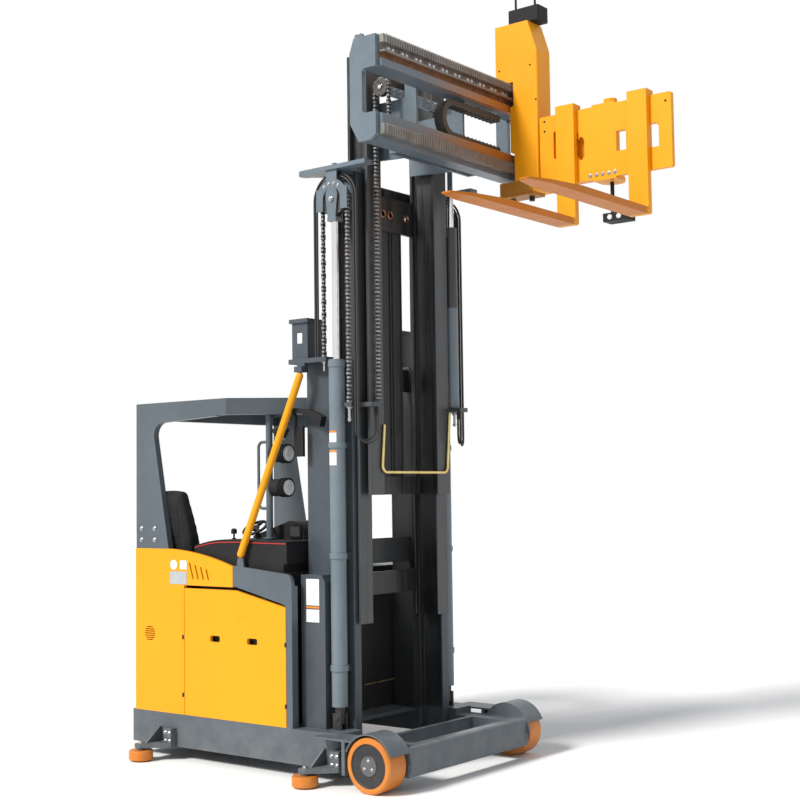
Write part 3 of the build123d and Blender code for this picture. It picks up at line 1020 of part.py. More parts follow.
# Toothed racks bolted along the front of both beams; the upper one stands above a bolting recess,
# a thin lip and a channel
RACK_X = AXLE_X + 100
TOOTH_X = RACK_X + RACK_OUT - RACK_TOOTH
UP_RACK_Z = UP_TOP_Z - 46
with BuildPart() as traverse_racks:
    side_plate([(RACK_X, UP_LOW_Z + 44.3), (RACK_X + 8, UP_LOW_Z + 44.3), (RACK_X + 8, UP_RACK_Z - 54),
                (RACK_X + RACK_OUT, UP_RACK_Z - 54), (RACK_X + RACK_OUT, UP_RACK_Z - 44), (RACK_X + 12, UP_RACK_Z - 44),
                (RACK_X + 12, UP_RACK_Z), (TOOTH_X, UP_RACK_Z), (TOOTH_X, UP_TOP_Z), (RACK_X, UP_TOP_Z)],
               -RACK_HALF, RACK_HALF)
    block(RACK_X, TOOTH_X, -RACK_HALF, RACK_HALF, LOW_RACK_Z, LOW_RACK_Z + RACK_H)
    teeth = int(2 * RACK_HALF / RACK_PITCH) - 1
    for z0, z1 in ((UP_RACK_Z, UP_TOP_Z), (LOW_RACK_Z, LOW_RACK_Z + RACK_H)):
        with BuildSketch(Plane.XY.offset(z0)) as tooth_row:
            with Locations((TOOTH_X + RACK_TOOTH / 2, 0)):
                with GridLocations(1, RACK_PITCH, 1, teeth):
                    Trapezoid(RACK_PITCH * 0.7, RACK_TOOTH, 65, rotation=-90)
        extrude(tooth_row.sketch, amount=z1 - z0, dir=(0, 0, 1))
save(traverse_racks, "traverse_racks")

# Energy chain folded behind the window between the beams
ENERGY_W = 64
chain_mid_z = LOW_TOP_Z + 0.3 + 123
with BuildPart() as energy_chain:
    with BuildSketch(Plane.YZ.offset(AXLE_X + 12)) as loop:
        with Locations((40, chain_mid_z)):
            Circle(118)
            Circle(82, mode=Mode.SUBTRACT)
            Rectangle(300, 300, align=(Align.MIN, Align.CENTER), mode=Mode.SUBTRACT)
        for level in (-100, 100):
            with Locations((40, chain_mid_z + level)):
                Rectangle(480, 36, align=(Align.MIN, Align.CENTER))
            with Locations((280, chain_mid_z + level)):
                with GridLocations(40, 1, 12, 1):
                    Rectangle(6, 46)
    extrude(loop.sketch, amount=ENERGY_W, dir=(1, 0, 0))
save(energy_chain, "energy_chain")

# Turret head: a tower that hangs on both beams, with the arm that carries the pivot
with BuildPart() as turret_head:
    side_plate([(HEAD_REAR_X, HEAD_TOP_Z), (AXLE_X + 269, HEAD_TOP_Z), (HEAD_FRONT_X, 4300),
                (HEAD_FRONT_X, PLATE_LOW_Z), (AXLE_X + 159, PLATE_LOW_Z), (AXLE_X + 159, LOW_TOP_Z + 2),
                (AXLE_X + 132, LOW_TOP_Z + 8), (AXLE_X + 132, 3970), (AXLE_X + 157, 3980),
                (AXLE_X + 157, UP_TOP_Z + 10), (HEAD_REAR_X, UP_TOP_Z + 12)], HEAD_Y0, HEAD_Y1)
    fillet(turret_head.edges().filter_by(Axis.Z).group_by(Axis.X)[-1], 14)
    # slide pads on the upper beam
    for pad_y in (HEAD_Y0 + 40, HEAD_Y1 - 40):
        block(AXLE_X + 66, AXLE_X + 96, pad_y - 22, pad_y + 22, UP_TOP_Z + 0.3, UP_TOP_Z + 20)
    side_plate([(AXLE_X + 40, 3415), (AXLE_X + 280, 3415), (AXLE_X + 280, PLATE_LOW_Z + 2),
                (AXLE_X + 162, 3507), (AXLE_X + 40, 3507)], HEAD_Y0 + 10, HEAD_Y1 - 10)
    for pin_x in (AXLE_X + 90, AXLE_X + 230):
        upright(pin_x, (HEAD_Y0 + HEAD_Y1) / 2, 3386, 3417, 17)
    with BuildSketch(Plane.XY.offset(ARM_LOW_Z)) as arm:
        with Locations(((HEAD_FRONT_X + PIVOT_X) / 2 - 2, PIVOT_Y)):
            Rectangle(PIVOT_X - HEAD_FRONT_X + 4, 2 * ARM_R)
        with Locations((PIVOT_X, PIVOT_Y)):
            Circle(ARM_R)
    extrude(arm.sketch, amount=ARM_TOP_Z - ARM_LOW_Z, dir=(0, 0, 1))
    upright(PIVOT_X, PIVOT_Y, ARM_LOW_Z, ARM_TOP_Z, PIVOT_R + PIN_FIT, Mode.SUBTRACT)
save(turret_head, "turret_head")

with BuildPart() as head_box:
    block(AXLE_X + 116, AXLE_X + 335, HEAD_Y0 + 20, HEAD_Y1 - 20, HEAD_TOP_Z + 0.5, HEAD_TOP_Z + 93)
    fillet(head_box.edges().filter_by(Axis.Z), 10)
    for antenna_x in (AXLE_X + 150, AXLE_X + 290):
        upright(antenna_x, HEAD_Y0 + 60, HEAD_TOP_Z + 90, HEAD_TOP_Z + 190, 7)
save(head_box, "head_box")

# Fork carriage: a plate with lightening slots, lugs above and below the arm, and the pivot pin
PLATE_X0 = PIVOT_X - PLATE_HALF
PLATE_SLOTS = [(218, 3640, 30, 190), (-186, 3660, 26, 150), (-330, 3680, 26, 170)]   # shift, z, width, height
with BuildPart() as fork_carriage:
    block(PLATE_X0, PIVOT_X + PLATE_HALF, PLATE_FRONT_Y, PLATE_FRONT_Y + PLATE_T, PLATE_LOW_Z, PLATE_TOP_Z)
    fillet(fork_carriage.edges().filter_by(Axis.Y), 12)
    for shift, z, width, height in PLATE_SLOTS:
        with BuildSketch(Plane.XZ.offset(-PLATE_FRONT_Y - PLATE_T)) as slot:
            with Locations((PIVOT_X + shift, z)):
                SlotOverall(height, width, rotation=90)
        extrude(slot.sketch, amount=PLATE_T, dir=(0, -1, 0), mode=Mode.SUBTRACT)
    for z0, z1, lug_r in ((ARM_LOW_Z - 6 - LUG_T, ARM_LOW_Z - 6, LUG_R), (ARM_TOP_Z + 6, ARM_TOP_Z + 6 + LUG_T, LUG_R)):
        with BuildSketch(Plane.XY.offset(z0)) as lug:
            with Locations((PIVOT_X, PIVOT_Y)):
                Circle(lug_r)
            with Locations((PIVOT_X, (PLATE_FRONT_Y + PIVOT_Y) / 2)):
                Rectangle(2 * lug_r, PIVOT_Y - PLATE_FRONT_Y)
        extrude(lug.sketch, amount=z1 - z0, dir=(0, 0, 1))
    upright(PIVOT_X, PIVOT_Y, ARM_LOW_Z - 10, ARM_TOP_Z + 10, PIVOT_R)
    upright(PIVOT_X, PIVOT_Y, ARM_TOP_Z + 6 + LUG_T, ARM_TOP_Z + 46 + LUG_T, 40)
save(fork_carriage, "fork_carriage")

# Camera lamp hanging on a stem under the pivot
with BuildPart() as under_lamp:
    upright(PIVOT_X, PIVOT_Y, 3226, ARM_LOW_Z - 6 - LUG_T, 12)
    block(PIVOT_X - 40, PIVOT_X + 120, PIVOT_Y - 50, PIVOT_Y + 50, 3178, 3228)
save(under_lamp, "under_lamp")

# Forks: hooked shanks in front of the plate and tapered blades to the right
FORK_TIP_Y = PLATE_FRONT_Y - FORK_T - FORK_LENGTH + 40
for name, shift in (("fork_rear", -FORK_SPACING / 2), ("fork_front", FORK_SPACING / 2)):
    fork_x = PIVOT_X + shift
    with BuildPart() as fork:
        with BuildSketch(Plane.YZ.offset(fork_x - FORK_W / 2)) as side_view:
            with BuildLine():
                Polyline((PLATE_FRONT_Y, FORK_TOP_Z), (PLATE_FRONT_Y, FORK_LOW_Z + 14),
                         (PLATE_FRONT_Y - 14, FORK_LOW_Z), (FORK_TIP_Y + 6, FORK_LOW_Z), (FORK_TIP_Y, FORK_LOW_Z + 4),
                         (FORK_TIP_Y, FORK_LOW_Z + 10), (FORK_TIP_Y + 480, FORK_LOW_Z + FORK_T),
                         (PLATE_FRONT_Y - FORK_T - 12, FORK_LOW_Z + FORK_T),
                         (PLATE_FRONT_Y - FORK_T, FORK_LOW_Z + FORK_T + 12), (PLATE_FRONT_Y - FORK_T, FORK_TOP_Z),
                         close=True)
            make_face()
        extrude(side_view.sketch, amount=FORK_W, dir=(1, 0, 0))
        for edge_x, inward in ((fork_x - FORK_W / 2, 1), (fork_x + FORK_W / 2, -1)):
            flat_plate([(edge_x - inward, FORK_TIP_Y - 1), (edge_x + inward * 34, FORK_TIP_Y - 1),
                        (edge_x + inward * 26, FORK_TIP_Y + 30), (edge_x - inward, FORK_TIP_Y + 170)],
                       FORK_LOW_Z - 1, FORK_LOW_Z + FORK_T + 1, Mode.SUBTRACT)
        # hook over the top edge of the plate
        block(fork_x - FORK_W / 2, fork_x + FORK_W / 2, PLATE_FRONT_Y - 2, PLATE_FRONT_Y + PLATE_T + 14,
              PLATE_TOP_Z + 0.3, FORK_TOP_Z)
    save(fork, name)
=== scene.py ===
import bpy
import bmesh
import math
from mathutils import Matrix, Vector


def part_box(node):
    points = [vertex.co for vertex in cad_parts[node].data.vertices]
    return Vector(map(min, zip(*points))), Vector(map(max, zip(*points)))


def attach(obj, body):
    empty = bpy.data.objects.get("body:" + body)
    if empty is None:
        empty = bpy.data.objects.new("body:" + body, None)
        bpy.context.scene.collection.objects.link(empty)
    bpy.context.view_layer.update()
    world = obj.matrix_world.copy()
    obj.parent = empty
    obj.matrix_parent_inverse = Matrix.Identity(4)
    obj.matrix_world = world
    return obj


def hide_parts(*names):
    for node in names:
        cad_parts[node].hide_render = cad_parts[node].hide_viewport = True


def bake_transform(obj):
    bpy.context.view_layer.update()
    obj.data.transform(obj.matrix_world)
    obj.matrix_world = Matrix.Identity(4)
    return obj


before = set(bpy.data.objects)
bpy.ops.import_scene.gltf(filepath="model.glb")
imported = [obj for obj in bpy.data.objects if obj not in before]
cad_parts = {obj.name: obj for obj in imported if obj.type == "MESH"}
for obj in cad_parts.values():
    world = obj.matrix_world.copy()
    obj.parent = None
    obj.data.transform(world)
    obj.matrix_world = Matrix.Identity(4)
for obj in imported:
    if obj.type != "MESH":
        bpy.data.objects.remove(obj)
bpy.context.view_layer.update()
scene = bpy.context.scene

# Places that several pieces share, in metres: X forward, Y to the left, Z up
AXLE_X, AXLE_Z = 0.380, 0.150                # load wheel axle
LIFT_X, LIFT_Y = -0.012, 0.510               # lift cylinders, with their sheaves above
SHEAVE_Z = 3.300
REAR_CHAIN_X, FRONT_CHAIN_X = -0.104, 0.080
BRACE_Z = 3.295                              # cross plate with the hose holes
COLUMN_Y, HOUSING_Y, BOX_Y = -0.560, -0.650, -0.500      # near faces with blank plates
HEAD_FACE_Y, PLATE_FACE_Y = 0.550, 0.540     # near faces of the turret head and fork plate
UP, DOWN, AHEAD, NEAR = (0, 0, 1), (0, 0, -1), (1, 0, 0), (0, -1, 0)


# Shader node groups

def new_group(name, inputs, outputs=("Mask",)):
    """An empty shader group for values; an output called Normal is a direction."""
    group = bpy.data.node_groups.new(name, "ShaderNodeTree")
    for label, default in inputs.items():
        socket = group.interface.new_socket(label, in_out="INPUT", socket_type="NodeSocketFloat")
        socket.default_value = default
    for label in outputs:
        kind = "NodeSocketVector" if label == "Normal" else "NodeSocketFloat"
        group.interface.new_socket(label, in_out="OUTPUT", socket_type=kind)
    start, end = group.nodes.new("NodeGroupInput"), group.nodes.new("NodeGroupOutput")
    return group, start.outputs, end.inputs


def link(group, source, target):
    group.links.new(source, target)


def noise(group, place, scale, detail=4.0, roughness=0.55):
    texture = group.nodes.new("ShaderNodeTexNoise")
    texture.inputs["Detail"].default_value = detail
    texture.inputs["Roughness"].default_value = roughness
    if isinstance(scale, float):
        texture.inputs["Scale"].default_value = scale
    else:
        link(group, scale, texture.inputs["Scale"])
    link(group, place, texture.inputs["Vector"])
    return texture.outputs["Fac"]


def ramp(group, value, low, high):
    """Spreads a value between two limits over 0 to 1, cut off at both ends."""
    span = group.nodes.new("ShaderNodeMapRange")
    span.clamp = True
    span.interpolation_type = "SMOOTHSTEP"
    span.inputs["From Min"].default_value = low
    span.inputs["From Max"].default_value = high
    link(group, value, span.inputs["Value"])
    return span.outputs["Result"]


def arithmetic(group, operation, first, second=0.0):
    node = group.nodes.new("ShaderNodeMath")
    node.operation = operation
    for socket, value in zip(node.inputs, (first, second)):
        if isinstance(value, float):
            socket.default_value = value
        else:
            link(group, value, socket)
    return node.outputs[0]


def plus(group, first, second):
    return arithmetic(group, "ADD", first, second)


def minus(group, first, second):
    return arithmetic(group, "SUBTRACT", first, second)


def times(group, first, second):
    return arithmetic(group, "MULTIPLY", first, second)


def object_place(group):
    """Place on the object; a CAD node's own coordinates are the truck's."""
    return group.nodes.new("ShaderNodeTexCoord").outputs["Object"]


def surface_normal(group):
    return group.nodes.new("ShaderNodeNewGeometry").outputs["Normal"]


def split_axes(group, vector):
    split = group.nodes.new("ShaderNodeSeparateXYZ")
    link(group, vector, split.inputs[0])
    return split.outputs


def make_mottle_group():
    """Slow change of tone over a painted or cast surface."""
    group, given, result = new_group("surface_mottle", {"Scale": 3.0})
    place = object_place(group)
    broad = noise(group, place, given["Scale"])
    fine = noise(group, place, times(group, given["Scale"], 7.0), 6.0)
    both = plus(group, times(group, broad, 0.65), times(group, fine, 0.35))
    link(group, ramp(group, both, 0.32, 0.68), result["Mask"])
    return group


def make_edge_group():
    """Worn outer edges, and the normal that softens them."""
    group, given, result = new_group("edge_wear", {"Width": 0.004, "Amount": 0.5},
                                     ("Mask", "Normal"))
    bevel = group.nodes.new("ShaderNodeBevel")
    bevel.samples = 4
    link(group, given["Width"], bevel.inputs["Radius"])
    dot = group.nodes.new("ShaderNodeVectorMath")
    dot.operation = "DOT_PRODUCT"
    link(group, bevel.outputs["Normal"], dot.inputs[0])
    link(group, surface_normal(group), dot.inputs[1])
    edge = ramp(group, minus(group, 1.0, dot.outputs["Value"]), 0.02, 0.22)
    patches = ramp(group, noise(group, object_place(group), 60.0, 6.0, 0.7), 0.42, 0.62)
    worn = times(group, times(group, edge, patches), given["Amount"])
    link(group, worn, result["Mask"])
    link(group, bevel.outputs["Normal"], result["Normal"])
    return group


def make_dust_group():
    """Dust that settles on faces that look up, thicker near the floor."""
    group, given, result = new_group("settled_dust", {"Amount": 0.3})
    place = object_place(group)
    upward = ramp(group, split_axes(group, surface_normal(group))["Z"], 0.3, 0.95)
    low = minus(group, 1.0, ramp(group, split_axes(group, place)["Z"], 0.05, 0.5))
    patches = ramp(group, noise(group, place, 9.0, 8.0, 0.65), 0.35, 0.75)
    total = plus(group, times(group, upward, 0.7), times(group, low, 0.5))
    link(group, times(group, times(group, total, patches), given["Amount"]), result["Mask"])
    return group


def make_grain_group():
    """Fine unevenness of a surface, as a height."""
    group, given, result = new_group("fine_grain", {"Scale": 400.0}, ("Height",))
    link(group, noise(group, object_place(group), given["Scale"], 3.0, 0.6), result["Height"])
    return group


def make_streak_group():
    """Fine upright streaks, as grease and machining leave on mast rails."""
    group, given, result = new_group("upright_streaks", {"Scale": 30.0})
    stretch = group.nodes.new("ShaderNodeMapping")
    stretch.inputs["Scale"].default_value = (1.0, 1.0, 0.03)
    link(group, object_place(group), stretch.inputs["Vector"])
    streaks = noise(group, stretch.outputs["Vector"], given["Scale"], 6.0, 0.7)
    link(group, ramp(group, streaks, 0.38, 0.66), result["Mask"])
    return group


def make_weave_group():
    """Crossed threads of a woven cover as a height, and its patches of tone as a mask."""
    group, given, result = new_group("cloth_weave", {"Scale": 900.0}, ("Height", "Mask"))
    place = object_place(group)
    threads = []
    for direction in "XZ":
        wave = group.nodes.new("ShaderNodeTexWave")
        wave.bands_direction = direction
        wave.inputs["Distortion"].default_value = 0.6
        link(group, given["Scale"], wave.inputs["Scale"])
        link(group, place, wave.inputs["Vector"])
        threads.append(wave.outputs["Fac"])
    link(group, times(group, *threads), result["Height"])
    link(group, ramp(group, noise(group, place, 14.0, 5.0), 0.35, 0.7), result["Mask"])
    return group


def make_zone_group():
    """The part of a surface between two corners, with soft limits."""
    inputs = {"Soft": 0.002, "Soft Y": 0.002}
    for axis in "XYZ":
        inputs.update({f"{axis} from": -99.0, f"{axis} to": 99.0})
    group, given, result = new_group("surface_zone", inputs)
    place = split_axes(group, object_place(group))
    inside = None
    for axis in "XYZ":
        above = minus(group, place[axis], given[f"{axis} from"])
        below = minus(group, given[f"{axis} to"], place[axis])
        nearer = arithmetic(group, "MINIMUM", above, below)
        soft = given["Soft Y" if axis == "Y" else "Soft"]
        step = ramp(group, arithmetic(group, "DIVIDE", nearer, soft), 0.0, 1.0)
        inside = times(group, inside, step) if inside else step
    link(group, inside, result["Mask"])
    return group


def make_disc_group():
    """The part of a wheel's faces inside a radius round its axle."""
    inputs = {"Centre X": 0.0, "Centre Z": 0.0, "Radius": 0.1}
    group, given, result = new_group("wheel_disc", inputs)
    place = split_axes(group, object_place(group))
    away = [minus(group, place[axis], given[f"Centre {axis}"]) for axis in "XZ"]
    square = plus(group, *(times(group, distance, distance) for distance in away))
    left = minus(group, given["Radius"], arithmetic(group, "SQRT", square))
    link(group, ramp(group, left, 0.0, 0.0015), result["Mask"])
    return group


def make_ladder_group():
    """Alternate painted highlight bands and dark bands up a chain, one highlight for each pin."""
    group, given, result = new_group("chain_highlight_ladder", {"Pitch": 0.0228})
    height = split_axes(group, object_place(group))["Z"]
    turns = arithmetic(group, "DIVIDE", height, given["Pitch"])
    wave = arithmetic(group, "SINE", times(group, turns, 2 * math.pi))
    link(group, ramp(group, wave, -0.1, 0.25), result["Mask"])
    return group


GROUPS = {"mottle": make_mottle_group(), "edge": make_edge_group(), "dust": make_dust_group(),
          "grain": make_grain_group(), "streaks": make_streak_group(),
          "weave": make_weave_group(), "zone": make_zone_group(), "disc": make_disc_group(),
          "ladder": make_ladder_group()}


# Materials

def start_material(name):
    material = bpy.data.materials.new(name)
    material.use_nodes = True
    tree = material.node_tree
    return material, tree, tree.nodes["Principled BSDF"].inputs


def place_group(tree, key, **values):
    """A group in a material, with its outputs."""
    node = tree.nodes.new("ShaderNodeGroup")
    node.node_tree = GROUPS[key]
    for label, value in values.items():
        node.inputs[label].default_value = value
    return node.outputs


def mix(tree, mask, below, above):
    """Colour below where the mask is 0, above where it is 1."""
    node = tree.nodes.new("ShaderNodeMix")
    node.data_type = "RGBA"
    link(tree, mask, node.inputs["Factor"])
    for socket, value in ((node.inputs["A"], below), (node.inputs["B"], above)):
        if isinstance(value, tuple):
            socket.default_value = (*value, 1.0)
        else:
            link(tree, value, socket)
    return node.outputs["Result"]


def spread(tree, mask, limits):
    """A value that goes from the first limit to the second with the mask."""
    node = tree.nodes.new("ShaderNodeMapRange")
    node.inputs["To Min"].default_value, node.inputs["To Max"].default_value = limits
    link(tree, mask, node.inputs["Value"])
    return node.outputs["Result"]


def bump(tree, height, strength, distance, normal=None):
    node = tree.nodes.new("ShaderNodeBump")
    node.inputs["Strength"].default_value = strength
    node.inputs["Distance"].default_value = distance
    link(tree, height, node.inputs["Height"])
    if normal:
        link(tree, normal, node.inputs["Normal"])
    return node.outputs["Normal"]


def connect(tree, shader, **sources):
    """Links sources to the shader's sockets; Base_Color stands for Base Color."""
    for label, source in sources.items():
        link(tree, source, shader[label.replace("_", " ")])


def zone_mask(tree, soft, soft_y=None, **limits):
    """Mask of the part between limits given as x0=, x1=, y0= and so on."""
    ends = {"0": "from", "1": "to"}
    values = {f"{key[0].upper()} {ends[key[1]]}": value for key, value in limits.items()}
    values["Soft Y"] = soft_y or soft
    return place_group(tree, "zone", Soft=soft, **values)["Mask"]


def painted(name, tone, shade, worn, dust=(0.42, 0.39, 0.34), dust_amount=0.25, wear=0.5,
            rough=(0.34, 0.5), coat=0.15, zones=(), shine=0.5):
    """Sprayed paint with orange peel, worn edges and settled dust.

    Each zone is a colour, the softness of its limits and the limits.
    """
    material, tree, shader = start_material(name)
    mottle = place_group(tree, "mottle", Scale=2.2)["Mask"]
    edge = place_group(tree, "edge", Width=0.003, Amount=wear)
    dusty = place_group(tree, "dust", Amount=dust_amount)["Mask"]
    peel = place_group(tree, "grain", Scale=260.0)["Height"]
    colour = mix(tree, mottle, tone, shade)
    for zone_colour, soft, limits in zones:
        colour = mix(tree, zone_mask(tree, soft, **limits), colour, zone_colour)
    colour = mix(tree, edge["Mask"], colour, worn)
    connect(tree, shader, Base_Color=mix(tree, dusty, colour, dust),
            Roughness=spread(tree, mottle, rough),
            Normal=bump(tree, peel, 0.12, 0.0006, edge["Normal"]))
    shader["Specular IOR Level"].default_value = shine
    shader["Coat Weight"].default_value = coat
    shader["Coat Roughness"].default_value = 0.25
    return material


def metal(name, tone, shade, rough, metallic=1.0, scale=12.0, wear=0.0, worn=(0.6, 0.58, 0.55)):
    """Bare or plated metal with a patchy tone."""
    material, tree, shader = start_material(name)
    mottle = place_group(tree, "mottle", Scale=scale)["Mask"]
    edge = place_group(tree, "edge", Width=0.0015, Amount=wear)
    grain = place_group(tree, "grain", Scale=700.0)["Height"]
    colour = mix(tree, edge["Mask"], mix(tree, mottle, tone, shade), worn)
    connect(tree, shader, Base_Color=colour, Roughness=spread(tree, mottle, rough),
            Normal=bump(tree, grain, 0.1, 0.0003, edge["Normal"]))
    shader["Metallic"].default_value = metallic
    return material


def greased_rail_shaded_inside(name, inner):
    """Rolled rail with streaks of rust and grease, and painted shade on the inside of the mast."""
    material, tree, shader = start_material(name)
    mottle = place_group(tree, "mottle", Scale=1.6)["Mask"]
    streaks = place_group(tree, "streaks", Scale=26.0)["Mask"]
    edge = place_group(tree, "edge", Width=0.004, Amount=0.35)
    colour = mix(tree, streaks, (0.070, 0.080, 0.090), (0.085, 0.082, 0.080))
    colour = mix(tree, mottle, colour, (0.050, 0.054, 0.058))
    # Painted shade: the inside of the mast is made dark, with the grease streaks kept in it.
    dark = mix(tree, streaks, (0.022, 0.023, 0.025), (0.050, 0.050, 0.050))
    colour = mix(tree, zone_mask(tree, 0.003, **inner), colour, dark)
    colour = mix(tree, edge["Mask"], colour, (0.30, 0.28, 0.26))
    connect(tree, shader, Base_Color=colour, Roughness=spread(tree, streaks, (0.3, 0.55)),
            Metallic=spread(tree, mottle, (0.5, 0.2)),
            Normal=bump(tree, streaks, 0.12, 0.0008, edge["Normal"]))
    return material


def laddered_chain(name):
    """Leaf chain with dark oiled plates, and a painted highlight as a bright band at each pin
    between them.
    """
    material, tree, shader = start_material(name)
    mottle = place_group(tree, "mottle", Scale=12.0)["Mask"]
    ladder = place_group(tree, "ladder")["Mask"]
    edge = place_group(tree, "edge", Width=0.0012, Amount=0.35)
    dark = mix(tree, mottle, (0.016, 0.016, 0.017), (0.032, 0.031, 0.030))
    # The bright bands at the pins are painted highlights.
    pin_highlight = mix(tree, mottle, (0.34, 0.34, 0.34), (0.20, 0.20, 0.20))
    colour = mix(tree, edge["Mask"], mix(tree, ladder, dark, pin_highlight), (0.4, 0.39, 0.38))
    connect(tree, shader, Base_Color=colour, Roughness=spread(tree, mottle, (0.35, 0.5)),
            Metallic=spread(tree, mottle, (0.5, 0.3)),
            Normal=bump(tree, ladder, 0.4, 0.002, edge["Normal"]))
    return material


def rusty_rack(name):
    """Machined rack: bare teeth, a brown channel, and rust that grows towards the head."""
    material, tree, shader = start_material(name)
    mottle = place_group(tree, "mottle", Scale=9.0)["Mask"]
    streaks = place_group(tree, "streaks", Scale=40.0)["Mask"]
    edge = place_group(tree, "edge", Width=0.0015, Amount=0.5)
    colour = mix(tree, mottle, (0.17, 0.165, 0.155), (0.27, 0.26, 0.245))
    brown = mix(tree, streaks, (0.16, 0.085, 0.045), (0.26, 0.12, 0.05))
    channel = zone_mask(tree, 0.006, z0=3.986, z1=4.022)
    bolt_strip = zone_mask(tree, 0.004, z0=4.026, z1=4.072)
    towards_head = zone_mask(tree, 1.8, y0=-0.45, y1=3.0)
    colour = mix(tree, channel, colour, brown)
    colour = mix(tree, bolt_strip, colour, (0.17, 0.15, 0.135))
    colour = mix(tree, towards_head, colour, brown)
    colour = mix(tree, edge["Mask"], colour, (0.46, 0.40, 0.35))
    connect(tree, shader, Base_Color=colour, Roughness=spread(tree, mottle, (0.4, 0.62)),
            Metallic=spread(tree, mottle, (0.6, 0.25)),
            Normal=bump(tree, streaks, 0.15, 0.0006, edge["Normal"]))
    return material


def moulded(name, tone, shade, rough=(0.42, 0.6), grain=900.0, depth=0.25, discs=(), dirt=0.18,
            shine=0.5):
    """Grained moulded plastic or rubber; discs are coloured rounds on a wheel's faces."""
    material, tree, shader = start_material(name)
    mottle = place_group(tree, "mottle", Scale=6.0)["Mask"]
    edge = place_group(tree, "edge", Width=0.003, Amount=0.25)
    dusty = place_group(tree, "dust", Amount=dirt)["Mask"]
    fine = place_group(tree, "grain", Scale=grain)["Height"]
    colour = mix(tree, mottle, tone, shade)
    for disc_colour, radius in discs:
        disc = place_group(tree, "disc", Radius=radius, **{"Centre X": AXLE_X, "Centre Z": AXLE_Z})
        colour = mix(tree, disc["Mask"], colour, disc_colour)
    colour = mix(tree, edge["Mask"], colour, (0.16, 0.16, 0.17))
    connect(tree, shader, Base_Color=mix(tree, dusty, colour, (0.3, 0.28, 0.25)),
            Roughness=spread(tree, mottle, rough),
            Normal=bump(tree, fine, depth, 0.0005, edge["Normal"]))
    shader["Specular IOR Level"].default_value = shine
    return material


def woven(name, tone, shade):
    """Woven seat cloth with a soft sheen."""
    material, tree, shader = start_material(name)
    weave = place_group(tree, "weave", Scale=260.0)
    connect(tree, shader, Base_Color=mix(tree, weave["Mask"], tone, shade),
            Normal=bump(tree, weave["Height"], 0.35, 0.0012))
    shader["Roughness"].default_value = 0.85
    shader["Sheen Weight"].default_value = 0.06
    shader["Specular IOR Level"].default_value = 0.15
    return material


BLACK_TONE = (0.014, 0.014, 0.016)
YELLOW_TONES = ((0.80, 0.318, 0.001), (0.84, 0.340, 0.002), (0.50, 0.30, 0.10))
YELLOW_LOOK = {"dust": (0.5, 0.33, 0.12), "rough": (0.4, 0.55), "shine": 0.3}
CYLINDER_TONES = ((0.118, 0.150, 0.174), (0.140, 0.176, 0.204), (0.3, 0.3, 0.32))
ORANGE_TONES = ((0.62, 0.20, 0.012), (0.52, 0.15, 0.010))
TYRE_LOOK = {"rough": (0.32, 0.5), "grain": 300.0, "depth": 0.15}
PLATE_LOOK = {"rough": (0.35, 0.5), "grain": 200.0, "depth": 0.05}

# Zones: painted shade, as black on the wall behind the mast and as dark on the inside of the
# outer mast, and the lower beam of the traverse frame, which rusts towards the head
FRONT_WALL_SHADE = (BLACK_TONE, 0.002,
              {"x0": -0.353, "x1": -0.322, "y0": -0.60, "y1": 0.66, "z0": 0.278, "z1": 1.2})
MAST_BACK_SHADE = ((0.024, 0.026, 0.028), 0.004,
             {"x0": -0.31, "x1": -0.12, "y0": -0.36, "y1": 0.36, "z0": 0.28, "z1": 2.38})
MAST_FAR_SIDE_SHADE = ((0.030, 0.032, 0.034), 0.004,
                 {"x1": 0.043, "y0": 0.0, "y1": 0.44, "z0": 0.28, "z1": 2.38})
RUSTY_BEAM = ((0.36, 0.125, 0.026), 0.004,
              {"x0": 0.470, "y0": -0.45, "soft_y": 0.85, "z0": 3.60, "z1": 3.99})

GREY = painted("grey_machine_paint", (0.074, 0.093, 0.108), (0.092, 0.113, 0.130),
               (0.24, 0.26, 0.28), shine=0.3, zones=[FRONT_WALL_SHADE])
# The mast grey is darker all over than the machine grey, as painted shade for the mast's shaded
# near face.
MAST_GREY = painted("mast_grey_paint", (0.048, 0.060, 0.071), (0.062, 0.076, 0.089),
                    (0.22, 0.23, 0.25), shine=0.3, dust_amount=0.15, wear=0.35,
                    zones=[MAST_BACK_SHADE, MAST_FAR_SIDE_SHADE])
FRAME_GREY = painted("traverse_grey_paint", (0.100, 0.132, 0.160), (0.122, 0.158, 0.190),
                     (0.30, 0.30, 0.30), dust_amount=0.15, wear=0.4, zones=[RUSTY_BEAM])
YELLOW = painted("yellow_machine_paint", *YELLOW_TONES, dust_amount=0.06, wear=0.2, coat=0.04,
                 **YELLOW_LOOK)
# Painted shade on the turret head: a darker orange band low on its tower side, and black on its
# underside.
HEAD_YELLOW = painted("head_yellow_paint", *YELLOW_TONES, dust_amount=0.06, wear=0.2, coat=0.04,
                      zones=[((0.42, 0.17, 0.020), 0.01, {"x1": 0.67, "z0": 3.40, "z1": 3.512}),
                             (BLACK_TONE, 0.002, {"z1": 3.4155})], **YELLOW_LOOK)
# Painted shade on the forks: orange-brown low on the blades, where their undersides are shaded.
FORK_YELLOW = painted("fork_yellow_paint", *YELLOW_TONES, dust_amount=0.12, wear=0.4, coat=0.02,
                      zones=[((0.52, 0.155, 0.002), 0.03, {"y1": 0.50, "z1": 3.26})],
                      **YELLOW_LOOK)
CHARCOAL = painted("charcoal_paint", (0.022, 0.024, 0.028), (0.034, 0.036, 0.040),
                   (0.16, 0.16, 0.16), wear=0.3, shine=0.25)
